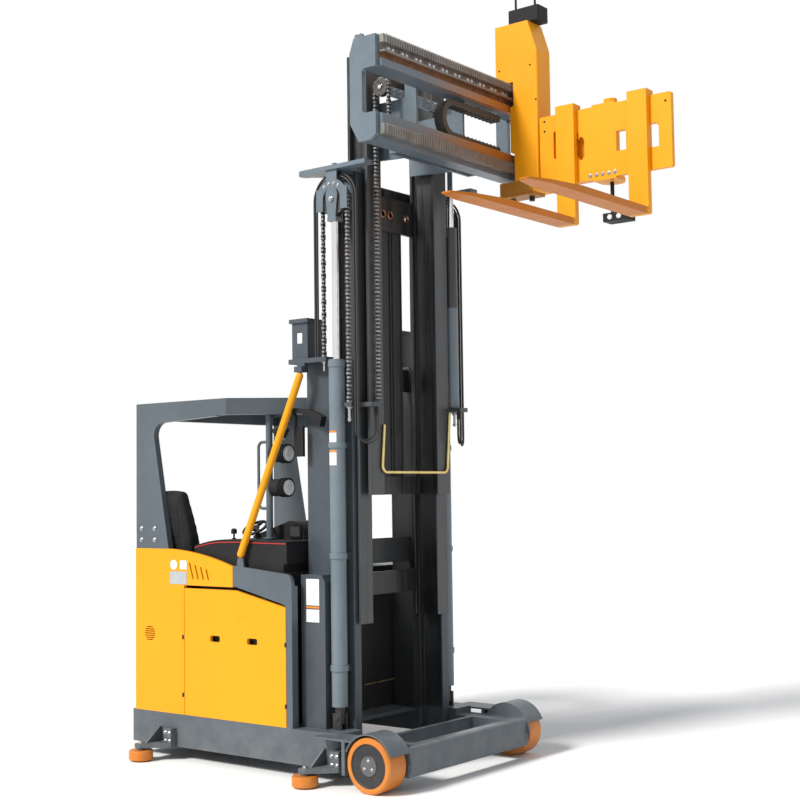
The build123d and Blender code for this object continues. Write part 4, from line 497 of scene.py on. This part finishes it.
# The zones given to the rails are where the inside of the mast gets painted shade.
MID_RAIL = greased_rail_shaded_inside("greased_mid_rail_shaded_inside", {"x1": 0.074, "y0": -0.36, "y1": 0.50})
INNER_RAIL = greased_rail_shaded_inside("greased_inner_rail_shaded_inside", {"x1": 0.126, "y0": -0.37, "y1": 0.296})
CHROME = metal("hard_chrome", (0.78, 0.79, 0.80), (0.70, 0.71, 0.73), (0.07, 0.16), scale=5.0)
BARREL = painted("cylinder_grey_paint", *CYLINDER_TONES, dust_amount=0.1,
                 zones=[(BLACK_TONE, 0.002, {"z1": 0.402})])
FREE_BARREL = painted("free_cylinder_paint", *CYLINDER_TONES, dust_amount=0.12,
                      zones=[((0.030, 0.031, 0.034), 0.01, {"z0": 2.74})])
CHAIN = laddered_chain("leaf_chain")
SHEAVE = metal("oiled_sheave", (0.055, 0.052, 0.050), (0.12, 0.11, 0.105), (0.35, 0.55),
               0.7, 60.0, 0.8, (0.5, 0.48, 0.45))
BOLT_STEEL = metal("zinc_bolts", (0.52, 0.52, 0.53), (0.42, 0.42, 0.43), (0.25, 0.4), scale=60.0)
COPPER = metal("copper_bushes", (0.55, 0.24, 0.12), (0.45, 0.19, 0.10), (0.25, 0.4), scale=60.0)
ZINC = metal("yellow_zinc", (0.62, 0.47, 0.16), (0.74, 0.60, 0.26), (0.25, 0.42), scale=14.0)
MIRROR = metal("mirror_glass", (0.86, 0.87, 0.88), (0.82, 0.83, 0.84), (0.02, 0.06), scale=4.0)
RACK = rusty_rack("machined_rack")
BLACK = moulded("black_moulding", (0.012, 0.012, 0.013), (0.019, 0.019, 0.020), (0.5, 0.7),
                dirt=0.06, shine=0.18)
LINK_GREY = moulded("energy_chain_links", (0.038, 0.035, 0.031), (0.070, 0.060, 0.050),
                    (0.5, 0.7), 500.0, 0.2, dirt=0.5)
STRIP_BLACK = moulded("dark_guide_strips", (0.020, 0.020, 0.022), (0.032, 0.031, 0.031),
                      (0.45, 0.65), 500.0, 0.2)
SCREEN = moulded("display_screen", (0.010, 0.013, 0.017), (0.014, 0.018, 0.024),
                 (0.08, 0.14), 300.0, 0.02, dirt=0.05)
LENS = moulded("lamp_lens", (0.62, 0.64, 0.66), (0.72, 0.74, 0.76), (0.1, 0.18), 200.0, 0.1,
               dirt=0.1)
RUBBER = moulded("hose_rubber", (0.012, 0.012, 0.012), (0.02, 0.02, 0.02), (0.5, 0.7),
                 1200.0, 0.2)
TREAD = moulded("orange_polyurethane", *ORANGE_TONES, **TYRE_LOOK)
WHEEL = moulded("load_wheel_finish", *ORANGE_TONES, **TYRE_LOOK,
                discs=[(BLACK_TONE, 0.1185), ((0.085, 0.090, 0.10), 0.0545)])
DATA_GREY = moulded("blank_plate_grey", (0.34, 0.36, 0.37), (0.42, 0.44, 0.45), **PLATE_LOOK,
                    dirt=0.2)
WHITE_PLATE = moulded("blank_plate_white", (0.70, 0.70, 0.68), (0.78, 0.78, 0.76),
                      **PLATE_LOOK, dirt=0.3)
ORANGE_BAND = moulded("plain_orange_band", (0.80, 0.26, 0.02), (0.74, 0.22, 0.02), **PLATE_LOOK)
RED_TRIM = moulded("red_trim", (0.42, 0.018, 0.012), (0.48, 0.022, 0.014), (0.3, 0.45),
                   300.0, 0.05)
CLOTH = woven("seat_cloth", (0.013, 0.013, 0.015), (0.021, 0.021, 0.023))

NODE_MATERIALS = {
    GREY: ("base_frame", "guide_brackets", "cab_shell", "overhead_guard"),
    MAST_GREY: ("outer_mast",),
    FRAME_GREY: ("traverse_frame", "top_plates", "sheave_yokes"),
    YELLOW: ("rear_housing", "battery_cover_right", "battery_cover_left", "fork_carriage",
             "mast_stays"),
    HEAD_YELLOW: ("turret_head",),
    FORK_YELLOW: ("fork_rear", "fork_front"),
    CHARCOAL: ("battery", "drive_unit", "seat_base"),
    MID_RAIL: ("mid_mast",),
    INNER_RAIL: ("inner_mast",),
    CHROME: ("lift_rods", "free_rod"),
    BARREL: ("lift_barrels",),
    FREE_BARREL: ("free_barrel",),
    CHAIN: ("chain_arcs", "rear_chains", "front_chains", "free_chain_arc", "free_chain_rear",
            "free_chain_front"),
    SHEAVE: ("sheaves", "free_sheave"),
    RACK: ("traverse_racks",),
    ZINC: ("mast_pipe",),
    BLACK: ("console", "steering_wheel", "lever_knob", "display", "work_lamps", "mirrors",
            "head_box", "under_lamp"),
    LINK_GREY: ("energy_chain",),
    STRIP_BLACK: ("guide_strips",),
    RUBBER: ("hose_arcs", "rear_hoses", "front_hoses", "hose_loops"),
    WHEEL: ("load_wheel_right", "load_wheel_left"),
    TREAD: ("guide_roller_rear_right", "guide_roller_rear_left", "guide_roller_front_right",
            "guide_roller_front_left", "drive_wheel"),
    CLOTH: ("seat_cushion", "seat_back"),
}
for material, names in NODE_MATERIALS.items():
    for name in names:
        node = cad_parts[name]
        node.data.materials.clear()
        node.data.materials.append(material)


# Making pieces

def new_object(name, data):
    piece = bpy.data.objects.new(name, data)
    scene.collection.objects.link(piece)
    return piece


def new_mesh(name, shape):
    """A mesh from a shape, which is freed."""
    mesh = bpy.data.meshes.new(name)
    shape.to_mesh(mesh)
    shape.free()
    return mesh


def settle_modifier(piece):
    """Turns the piece's modifiers into its mesh."""
    seen = piece.evaluated_get(bpy.context.evaluated_depsgraph_get())
    mesh = bpy.data.meshes.new_from_object(seen)
    piece.modifiers.clear()
    piece.data = mesh


def facing(axis):
    """Turn that lays an upright piece along an axis."""
    return Vector(axis).to_track_quat("Z", "Y").to_matrix().to_4x4()


def around(x, z, radius, angles):
    """Places on an upright circle along the truck, as x and z."""
    return [(x + radius * math.cos(math.radians(angle)), z + radius * math.sin(math.radians(angle)))
            for angle in angles]


def add_disc(shape, centre, axis, radius, height, sides=24, top=None):
    """A disc or taper standing on its centre along an axis."""
    place = Matrix.Translation(Vector(centre) + Vector(axis) * height / 2) @ facing(axis)
    bmesh.ops.create_cone(shape, cap_ends=True, segments=sides, radius1=radius,
                          radius2=radius if top is None else top, depth=height, matrix=place)


def add_bolt(shape, centre, axis, radius):
    """A hexagon bolt head with its washer and chamfered top, let 0.2 mm into its seat."""
    centre, axis = Vector(centre), Vector(axis)
    add_disc(shape, centre - axis * 0.0002, axis, radius * 1.45, radius * 0.22)
    add_disc(shape, centre + axis * radius * 0.2, axis, radius, radius * 0.62, 6)
    add_disc(shape, centre + axis * radius * 0.82, axis, radius * 0.96, radius * 0.16, 12,
             radius * 0.78)


def add_stud(shape, x, y, top, length):
    """A chain's threaded stud, hanging from its bracket with a nut."""
    add_disc(shape, (x, y, top), DOWN, 0.008, length, 16)
    add_bolt(shape, (x, y, top - 0.001), DOWN, 0.014)


def add_plate(shape, low, high, bevel=0.0006):
    """A thin plate between two corners, with its edges broken."""
    low, high = Vector(low), Vector(high)
    made = bmesh.ops.create_cube(shape, size=1.0)
    bmesh.ops.scale(shape, verts=made["verts"], vec=high - low)
    bmesh.ops.translate(shape, verts=made["verts"], vec=(low + high) / 2)
    if bevel:
        edges = list(dict.fromkeys(edge for vertex in made["verts"] for edge in vertex.link_edges))
        bmesh.ops.bevel(shape, geom=edges, offset=bevel, segments=2, affect="EDGES")


def add_near_plate(shape, face_y, x0, x1, z0, z1):
    """A plate on a near face, 1.5 mm proud and 0.5 mm let in."""
    add_plate(shape, (x0, face_y - 0.0015, z0), (x1, face_y + 0.0005, z1))


def add_ring(shape, centre, axis, radius, thickness, sides=28, around_tube=8):
    """A round ring about an axis."""
    place = Matrix.Translation(Vector(centre)) @ facing(axis)
    rows = []
    for step in range(sides):
        angle = 2 * math.pi * step / sides
        row = []
        for turn in range(around_tube):
            slant = 2 * math.pi * turn / around_tube
            reach = radius + thickness * math.cos(slant)
            corner = (reach * math.cos(angle), reach * math.sin(angle), thickness * math.sin(slant))
            row.append(shape.verts.new(place @ Vector(corner)))
        rows.append(row)
    for row, next_row in zip(rows, rows[1:] + rows[:1]):
        for turn in range(around_tube):
            beside = (turn + 1) % around_tube
            shape.faces.new((row[turn], next_row[turn], next_row[beside], row[beside]))


def finish_piece(name, shape, body, material, smooth=False):
    """Makes a shape a piece that rides on a body."""
    bmesh.ops.recalc_face_normals(shape, faces=shape.faces)
    for face in shape.faces:
        face.smooth = smooth
    piece = new_object(name, new_mesh(name, shape))
    piece.data.materials.append(material)
    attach(piece, body)


# Small pieces: bolts, blank plates, lenses and trim

def make_mast_bolts():
    """Bolts, studs and copper bushes on the mast's stages."""
    guard = bmesh.new()
    for side in (-1, 1):
        for x, z in around(LIFT_X, SHEAVE_Z, 0.091, (55, 78, 102, 125)):
            add_bolt(guard, (x, side * 0.542, z), (0, side, 0), 0.008)
        add_bolt(guard, (LIFT_X, side * 0.5460, SHEAVE_Z), (0, side, 0), 0.012)
        for x in (-0.22, -0.16, 0.10, 0.17):
            add_bolt(guard, (x, side * 0.525, 3.495), UP, 0.009)
    finish_piece("sheave_guard_bolts", guard, "mid_stage", BOLT_STEEL)
    bushes = bmesh.new()
    for y in (-0.194, -0.035, 0.035, 0.194):
        add_ring(bushes, (-0.0375, y, BRACE_Z), AHEAD, 0.021, 0.004)
    finish_piece("hose_hole_bushes", bushes, "inner_stage", COPPER, True)
    studs = bmesh.new()
    for side in (-1, 1):
        add_stud(studs, REAR_CHAIN_X, side * LIFT_Y, 2.365, 0.055)
    finish_piece("rear_chain_studs", studs, "chassis", BOLT_STEEL)
    studs = bmesh.new()
    for side in (-1, 1):
        add_stud(studs, FRONT_CHAIN_X, side * LIFT_Y, 2.096, 0.085)
        add_disc(studs, (FRONT_CHAIN_X, side * LIFT_Y, 2.030), DOWN, 0.012, 0.012, 6)
    finish_piece("front_chain_studs", studs, "inner_stage", BOLT_STEEL)
    bar = bmesh.new()
    for y in (-0.20, -0.14, 0.14, 0.20):
        for z in (3.946, 3.974):
            add_bolt(bar, (0.192, y, z), AHEAD, 0.008)
    finish_piece("crosshead_bolts", bar, "free_lift", BOLT_STEEL)


def make_head_bolts():
    """Bolts and screws on the traverse frame, the turret head and the fork plate."""
    rack = bmesh.new()
    for pair in range(10):
        for shift in (-0.02, 0.02):
            add_bolt(rack, (0.492, -0.62 + 0.126 * pair + shift, 4.050), AHEAD, 0.0115)
    finish_piece("rack_bolts", rack, "carriage", BOLT_STEEL)
    plate = bmesh.new()
    for index in range(5):
        add_bolt(plate, (1.075 + 0.041 * index, PLATE_FACE_Y, 3.456), NEAR, 0.009)
    finish_piece("fork_plate_bolts", plate, "turret", BOLT_STEEL)
    screws = bmesh.new()
    for x, z in ((0.437, 4.215), (0.663, 4.212), (0.700, 3.990), (0.437, 3.990)):
        add_disc(screws, (x, HEAD_FACE_Y + 0.0002, z), NEAR, 0.006, 0.003, 16, 0.005)
    finish_piece("head_cover_screws", screws, "head", BLACK)
    screws = bmesh.new()
    for x, z in ((0.765, 3.835), (0.765, 3.775), (1.575, 3.815)):
        add_disc(screws, (x, PLATE_FACE_Y + 0.0002, z), NEAR, 0.007, 0.003, 16, 0.006)
    finish_piece("fork_plate_screws", screws, "turret", BLACK)


def make_chassis_bolts():
    """Bolts of the roller brackets, the overhead guard and the load wheels' hubs."""
    base = bmesh.new()
    for x in (-1.37, -0.03):
        for side in (-1, 1):
            for along in (0.112, 0.148):
                for z in (0.118, 0.166):
                    add_bolt(base, (x + along, side * 0.695, z), (0, side, 0), 0.009)
            add_bolt(base, (x, side * 0.790, 0.106), UP, 0.013)
    for side in (-1, 1):
        for z in (1.33, 1.40):
            for x in (-1.52, -1.40):
                add_bolt(base, (x, side * 0.650, z), (0, side, 0), 0.011)
    finish_piece("chassis_bolts", base, "chassis", BOLT_STEEL)
    for side, word in ((-1, "right"), (1, "left")):
        hub = bmesh.new()
        for x, z in around(AXLE_X, AXLE_Z, 0.030, (90, 210, 330)):
            add_bolt(hub, (x, side * 0.742, z), (0, side, 0), 0.0065)
        finish_piece(f"hub_bolts_{word}", hub, f"{word}_load_wheel", BOLT_STEEL)


def make_plates():
    """Blank plates with a plain band, and the dark catches of the battery cover."""
    white, grey, band, dark = bmesh.new(), bmesh.new(), bmesh.new(), bmesh.new()
    add_near_plate(white, COLUMN_Y, -0.216, -0.117, 0.967, 1.118)
    add_near_plate(white, COLUMN_Y, -0.216, -0.117, 0.872, 0.945)
    add_near_plate(band, COLUMN_Y, -0.216, -0.117, 0.951, 0.962)
    add_disc(white, (-1.228, HOUSING_Y + 0.0005, 1.180), NEAR, 0.030, 0.002, 36)
    add_near_plate(white, HOUSING_Y, -1.172, -1.112, 1.153, 1.208)
    add_near_plate(grey, HOUSING_Y, -1.262, -1.112, 1.062, 1.140)
    add_near_plate(white, BOX_Y, -0.322, -0.284, 2.487, 2.548)
    for x in (-1.147, -0.298):
        for z in (0.744, 0.396):
            add_plate(dark, (x - 0.008, HOUSING_Y - 0.0015, z - 0.013),
                      (x + 0.008, HOUSING_Y + 0.0004, z + 0.013), 0.0005)
    finish_piece("blank_plates", white, "chassis", WHITE_PLATE)
    finish_piece("blank_data_plate", grey, "chassis", DATA_GREY)
    finish_piece("plain_bands", band, "chassis", ORANGE_BAND)
    finish_piece("cover_catches", dark, "chassis", BLACK)


BARREL_PLATES = (("upper_band", 1.952, 1.962, ORANGE_BAND), ("upper", 1.893, 1.950, WHITE_PLATE),
                 ("lower_band", 1.840, 1.850, ORANGE_BAND), ("lower", 1.765, 1.838, WHITE_PLATE))


def make_barrel_plates():
    """Blank plates wrapped round the near lift cylinder."""
    for part, z0, z1, material in BARREL_PLATES:
        wrap = bmesh.new()
        rows = []
        for step in range(9):
            angle = math.radians(-128 + 9 * step)
            x = LIFT_X + 0.0468 * math.cos(angle)
            y = -LIFT_Y + 0.0468 * math.sin(angle)
            rows.append([wrap.verts.new((x, y, z)) for z in (z0, z1)])
        for first, second in zip(rows, rows[1:]):
            wrap.faces.new((first[0], second[0], second[1], first[1]))
        finish_piece(f"barrel_plate_{part}", wrap, "chassis", material, True)


def make_line(name, route, radius, material):
    """A round line drawn smoothly through a route on the chassis."""
    curve = bpy.data.curves.new(name, "CURVE")
    curve.dimensions = "3D"
    curve.bevel_depth = radius
    line = curve.splines.new("NURBS")
    line.points.add(len(route) - 1)
    for point, place in zip(line.points, route):
        point.co = (*place, 1.0)
    line.order_u = 3
    line.use_endpoint_u = True
    curve.materials.append(material)
    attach(new_object(name, curve), "chassis")


def make_lenses():
    """Lamp lenses, the display's screen and the mirror's glass."""
    lens = bmesh.new()
    for z in (1.846, 1.644):
        add_disc(lens, (-0.4665, -0.430, z), AHEAD, 0.046, 0.003, 36)
        add_disc(lens, (-0.4640, -0.430, z), AHEAD, 0.040, 0.006, 36, 0.024)
    add_disc(lens, (-0.525, -0.430, 1.939), DOWN, 0.026, 0.006, 28, 0.018)
    finish_piece("lamp_lenses", lens, "chassis", LENS)
    eye = bmesh.new()
    for x in (1.235, 1.175):
        add_disc(eye, (x, 0.581, 3.203), NEAR, 0.017, 0.006, 28, 0.013)
    finish_piece("under_lamp_lens", eye, "turret", LENS)
    screen = bmesh.new()
    add_plate(screen, (-0.516, -0.3652, 1.350), (-0.444, -0.3636, 1.410))
    finish_piece("display_screen", screen, "chassis", SCREEN)
    glass = bmesh.new()
    add_plate(glass, (-0.340, -0.4945, 1.830), (-0.280, -0.4925, 1.992), 0.0008)
    finish_piece("mirror_glass", glass, "chassis", MIRROR)


def make_trim():
    """The red line on the console and the thin pipe in the mast well."""
    console_line = ((-1.086, 1.284), (-1.00, 1.306), (-0.90, 1.318), (-0.76, 1.3225),
                    (-0.55, 1.3195), (-0.330, 1.3165))
    make_line("console_trim", [(x, -0.6065, z) for x, z in console_line], 0.0035, RED_TRIM)
    well_line = ((0.439, 0.948), (0.430, 0.50), (0.428, 0.437), (0.380, 0.436), (0.077, 0.432))
    make_line("lubrication_pipe", [(-0.319, y, z) for y, z in well_line], 0.004, ZINC)


# Middle, width, lowest and highest point of each window in the fork plate
PLATE_WINDOWS = ((1.016, 0.046, 3.561, 3.699), (1.285, 0.064, 3.576, 3.694),
                 (1.498, 0.060, 3.560, 3.700))


def cut_plate_windows():
    """The fork plate with the windows that lighten it."""
    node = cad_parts["fork_carriage"]
    mesh = node.data.copy()
    mesh.transform(node.matrix_world)
    shape = bmesh.new()
    shape.from_mesh(mesh)
    bmesh.ops.remove_doubles(shape, verts=shape.verts, dist=1e-5)
    shape.to_mesh(mesh)
    shape.free()
    plate = new_object("windowed_fork_plate", mesh)
    cutter = bmesh.new()
    for x, width, z0, z1 in PLATE_WINDOWS:
        add_plate(cutter, (x - width / 2, 0.50, z0), (x + width / 2, 0.60, z1), 0.0)
        through = [edge for edge in cutter.edges[-12:]
                   if abs((edge.verts[0].co - edge.verts[1].co).y) > 0.05]
        bmesh.ops.bevel(cutter, geom=through, offset=0.012, segments=4, affect="EDGES")
    windows = new_object("plate_windows", new_mesh("plate_windows", cutter))
    cut = plate.modifiers.new("windows", "BOOLEAN")
    cut.operation = "DIFFERENCE"
    cut.solver = "EXACT"
    cut.object = windows
    settle_modifier(plate)
    bpy.data.objects.remove(windows)
    plate.data.materials.clear()
    plate.data.materials.append(YELLOW)
    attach(plate, "turret")
    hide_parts("fork_carriage")


# Node, the two bodies that it joins, and the heights of its ends on them
RUNS = (("rear_chains", "chassis", "mid_stage", 2.36, 3.33),
        ("rear_hoses", "chassis", "mid_stage", 2.36, 3.33),
        ("front_chains", "mid_stage", "inner_stage", 3.45, 1.97),
        ("front_hoses", "mid_stage", "inner_stage", 3.31, 2.10),
        ("free_chain_rear", "inner_stage", "free_lift", 2.137, 3.960),
        ("free_chain_front", "free_lift", "carriage", 3.960, 3.625))


def stretch_runs():
    """Chain and hose runs between the stages they join, copied in place of their nodes."""
    for node_name, first_body, second_body, first_z, second_z in RUNS:
        run = new_object(f"{node_name}_run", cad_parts[node_name].data.copy())
        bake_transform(run)
        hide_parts(node_name)


# Soft seat

SKIN_VOXEL = 0.009         # even skin before the swelling
SWELL_STEPS = 20
SMOOTH_ROUNDS = 6
SEAM = (0.005, 0.006)      # depth and half width of the channels along the pads
CROSS_SEAM = (0.004, 0.006)
EDGE_SEAM = (0.004, 0.005)
NO_SEAM = 9.0              # distance for points that a channel doesn't reach


def make_pad_shape(low, high, rows, taper=None):
    """A closed box-like form between two corners, cut into rows so that it can swell."""
    shape = bmesh.new()
    bmesh.ops.create_cube(shape, size=2.0)
    bmesh.ops.subdivide_edges(shape, edges=shape.edges[:], cuts=rows, use_grid_fill=True)
    low, high = Vector(low), Vector(high)
    middle, half = (low + high) / 2, (high - low) / 2
    for vertex in shape.verts:
        x, y, z = vertex.co
        pulled = 1.0 - 0.10 * (x * x * y * y + y * y * z * z + x * x * z * z) / 3
        local = Vector((x * half.x, y * half.y, z * half.z)) * pulled
        vertex.co = middle + (taper(local, half) if taper else local)
    return shape


def swell(piece, pressure, reach):
    """Cloth under inner pressure, each point kept within reach of its first place."""
    skin = piece.modifiers.new("even_skin", "REMESH")
    skin.mode = "VOXEL"
    skin.voxel_size = SKIN_VOXEL
    settle_modifier(piece)
    first = [vertex.co.copy() for vertex in piece.data.vertices]
    cloth = piece.modifiers.new("swelling", "CLOTH")
    cloth.settings.use_pressure = True
    cloth.settings.uniform_pressure_force = pressure
    cloth.settings.effector_weights.gravity = 0.0
    cloth.settings.tension_stiffness = 12.0
    for step in range(1, SWELL_STEPS + 1):
        scene.frame_set(step)
    settle_modifier(piece)
    scene.frame_set(1)
    for vertex, start in zip(piece.data.vertices, first):
        shift = vertex.co - start
        if shift.length > reach:
            vertex.co = start + shift.normalized() * reach


def soften(piece):
    smooth = piece.modifiers.new("soft", "SMOOTH")
    smooth.factor = 0.5
    smooth.iterations = SMOOTH_ROUNDS
    settle_modifier(piece)


def make_pad(name, shape, reach):
    """A swollen pad, ready for its channels."""
    bmesh.ops.recalc_face_normals(shape, faces=shape.faces)
    piece = new_object(name, new_mesh(name, shape))
    swell(piece, 4.0, reach)
    soften(piece)
    return piece


def press_channels(piece, distance, seam):
    """Presses sewn channels where distance(point) is near 0."""
    depth, width = seam
    normals = [vertex.normal.copy() for vertex in piece.data.vertices]
    for vertex, normal in zip(piece.data.vertices, normals):
        away = distance(vertex.co) / width
        vertex.co -= normal * depth * math.exp(-away * away)


def finish_pad(piece, body, node):
    for face in piece.data.polygons:
        face.use_smooth = True
    piece.data.materials.clear()
    piece.data.materials.append(CLOTH)
    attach(piece, body)
    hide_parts(node)


def make_cushion():
    low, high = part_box("seat_cushion")
    shape = make_pad_shape((low[0] + 0.008, low[1] + 0.006, low[2] + 0.001),
                           (high[0] - 0.008, high[1] - 0.006, high[2] - 0.012), 6)
    cushion = make_pad("padded_cushion", shape, 0.012)
    middle = (Vector(low) + Vector(high)) / 2
    top = high[2] - 0.05
    for offset in (-0.115, 0.115):
        press_channels(cushion, lambda point: point.x - middle.x - offset
                       if point.z > top else NO_SEAM, SEAM)
    for offset in (-0.12, 0.0, 0.12):
        press_channels(cushion, lambda point: point.y - middle.y - offset
                       if abs(point.x - middle.x) < 0.115 and point.z > top else NO_SEAM,
                       CROSS_SEAM)
    press_channels(cushion, lambda point: point.z - middle.z, EDGE_SEAM)
    finish_pad(cushion, "chassis", "seat_cushion")


def lean_back(local, half):
    """Narrows the seat back from its shoulders up, thins it, and leans it."""
    rise = (local.z + half.z) / (2 * half.z)
    narrow = 1.0 if rise < 0.38 else 1.0 - 0.36 * ((rise - 0.38) / 0.62) ** 1.5
    thick = 0.76 - 0.26 * rise
    lean = 0.018 - 0.080 * rise - 0.010 * math.sin(rise * math.pi)
    return Vector((local.x * narrow, local.y * thick + lean, local.z))


def make_back():
    low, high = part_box("seat_back")
    shape = make_pad_shape((low[0] + 0.008, low[1], low[2] + 0.002),
                           (high[0] - 0.008, high[1], high[2] - 0.004), 8, lean_back)
    back = make_pad("padded_back", shape, 0.010)
    middle_x = (low[0] + high[0]) / 2
    for offset in (-0.095, 0.095):
        press_channels(back, lambda point: point.x - middle_x - offset
                       if point.z < high[2] - 0.12 else NO_SEAM, SEAM)
    for height in (0.12, 0.24, 0.36):
        press_channels(back, lambda point: point.z - low[2] - height
                       if abs(point.x - middle_x) < 0.095 else NO_SEAM, CROSS_SEAM)
    finish_pad(back, "chassis", "seat_back")


make_mast_bolts()
make_head_bolts()
make_chassis_bolts()
make_plates()
make_barrel_plates()
make_lenses()
make_trim()
cut_plate_windows()
stretch_runs()
make_cushion()
make_back()


# Floor, light and camera

SKY_COLOUR, SKY_STRENGTH = (0.93, 0.96, 1.0), 0.50
SUN_COLOUR, SUN_STRENGTH = (1.0, 0.98, 0.95), 3.8
SUN_SPREAD = 14.0                            # degrees, for soft shadows
SUN_DIRECTION = (0.25, 1.0, -0.85)
CAMERA_PLACE = (5.126, -6.478, 1.615)
CAMERA_YAW, CAMERA_PITCH, CAMERA_ROLL = 128.0962, 3.7749, -0.7671        # degrees
FOCAL_LENGTH, SENSOR_WIDTH = 61.91, 36.0     # mm


def studio_floor():
    """A pale matt floor."""
    material, _, shader = start_material("studio_floor")
    shader["Base Color"].default_value = (0.92, 0.92, 0.92, 1.0)
    shader["Roughness"].default_value = 0.9
    shader["Specular IOR Level"].default_value = 0.1
    shape = bmesh.new()
    bmesh.ops.create_grid(shape, x_segments=1, y_segments=1, size=40.0)
    floor = new_object("studio_floor", new_mesh("studio_floor", shape))
    floor.data.materials.append(material)


def studio_light():
    """Soft sky light and one broad sun; the sky looks white itself and in reflections."""
    world = bpy.data.worlds.new("studio_air")
    scene.world = world
    world.use_nodes = True
    tree = world.node_tree
    sky = tree.nodes["Background"]
    sky.inputs["Color"].default_value = (*SKY_COLOUR, 1.0)
    sky.inputs["Strength"].default_value = SKY_STRENGTH
    white = tree.nodes.new("ShaderNodeBackground")
    white.inputs["Color"].default_value = (1.0, 1.0, 1.0, 1.0)
    seen = tree.nodes.new("ShaderNodeLightPath").outputs
    rays = seen["Is Camera Ray"]
    for other in ("Is Glossy Ray", "Is Transmission Ray"):
        rays = arithmetic(tree, "MAXIMUM", rays, seen[other])
    choose = tree.nodes.new("ShaderNodeMixShader")
    link(tree, rays, choose.inputs["Fac"])
    link(tree, sky.outputs["Background"], choose.inputs[1])
    link(tree, white.outputs["Background"], choose.inputs[2])
    link(tree, choose.outputs[0], tree.nodes["World Output"].inputs["Surface"])
    sun = bpy.data.lights.new("key_light", "SUN")
    sun.energy = SUN_STRENGTH
    sun.angle = math.radians(SUN_SPREAD)
    sun.color = SUN_COLOUR
    lamp = new_object("key_light", sun)
    lamp.rotation_euler = Vector(SUN_DIRECTION).to_track_quat("-Z", "Y").to_euler()


def photo_camera():
    """Camera at the photograph's place, with its small roll."""
    yaw, pitch, roll = (math.radians(angle) for angle in (CAMERA_YAW, CAMERA_PITCH, CAMERA_ROLL))
    ahead = Vector((math.cos(yaw) * math.cos(pitch), math.sin(yaw) * math.cos(pitch),
                    math.sin(pitch)))
    level = ahead.cross(Vector(UP)).normalized()
    upward = level.cross(ahead)
    right = math.cos(roll) * level + math.sin(roll) * upward
    top = -math.sin(roll) * level + math.cos(roll) * upward
    lens = bpy.data.cameras.new("photo_camera")
    lens.lens = FOCAL_LENGTH
    lens.sensor_width = SENSOR_WIDTH
    lens.sensor_fit = "HORIZONTAL"
    lens.clip_end = 200.0
    camera = new_object("photo_camera", lens)
    turn = Matrix((right, top, -ahead)).transposed()
    camera.matrix_world = Matrix.Translation(CAMERA_PLACE) @ turn.to_4x4()
    scene.camera = camera


studio_floor()
studio_light()
photo_camera()
scene.view_settings.view_transform = "Standard"
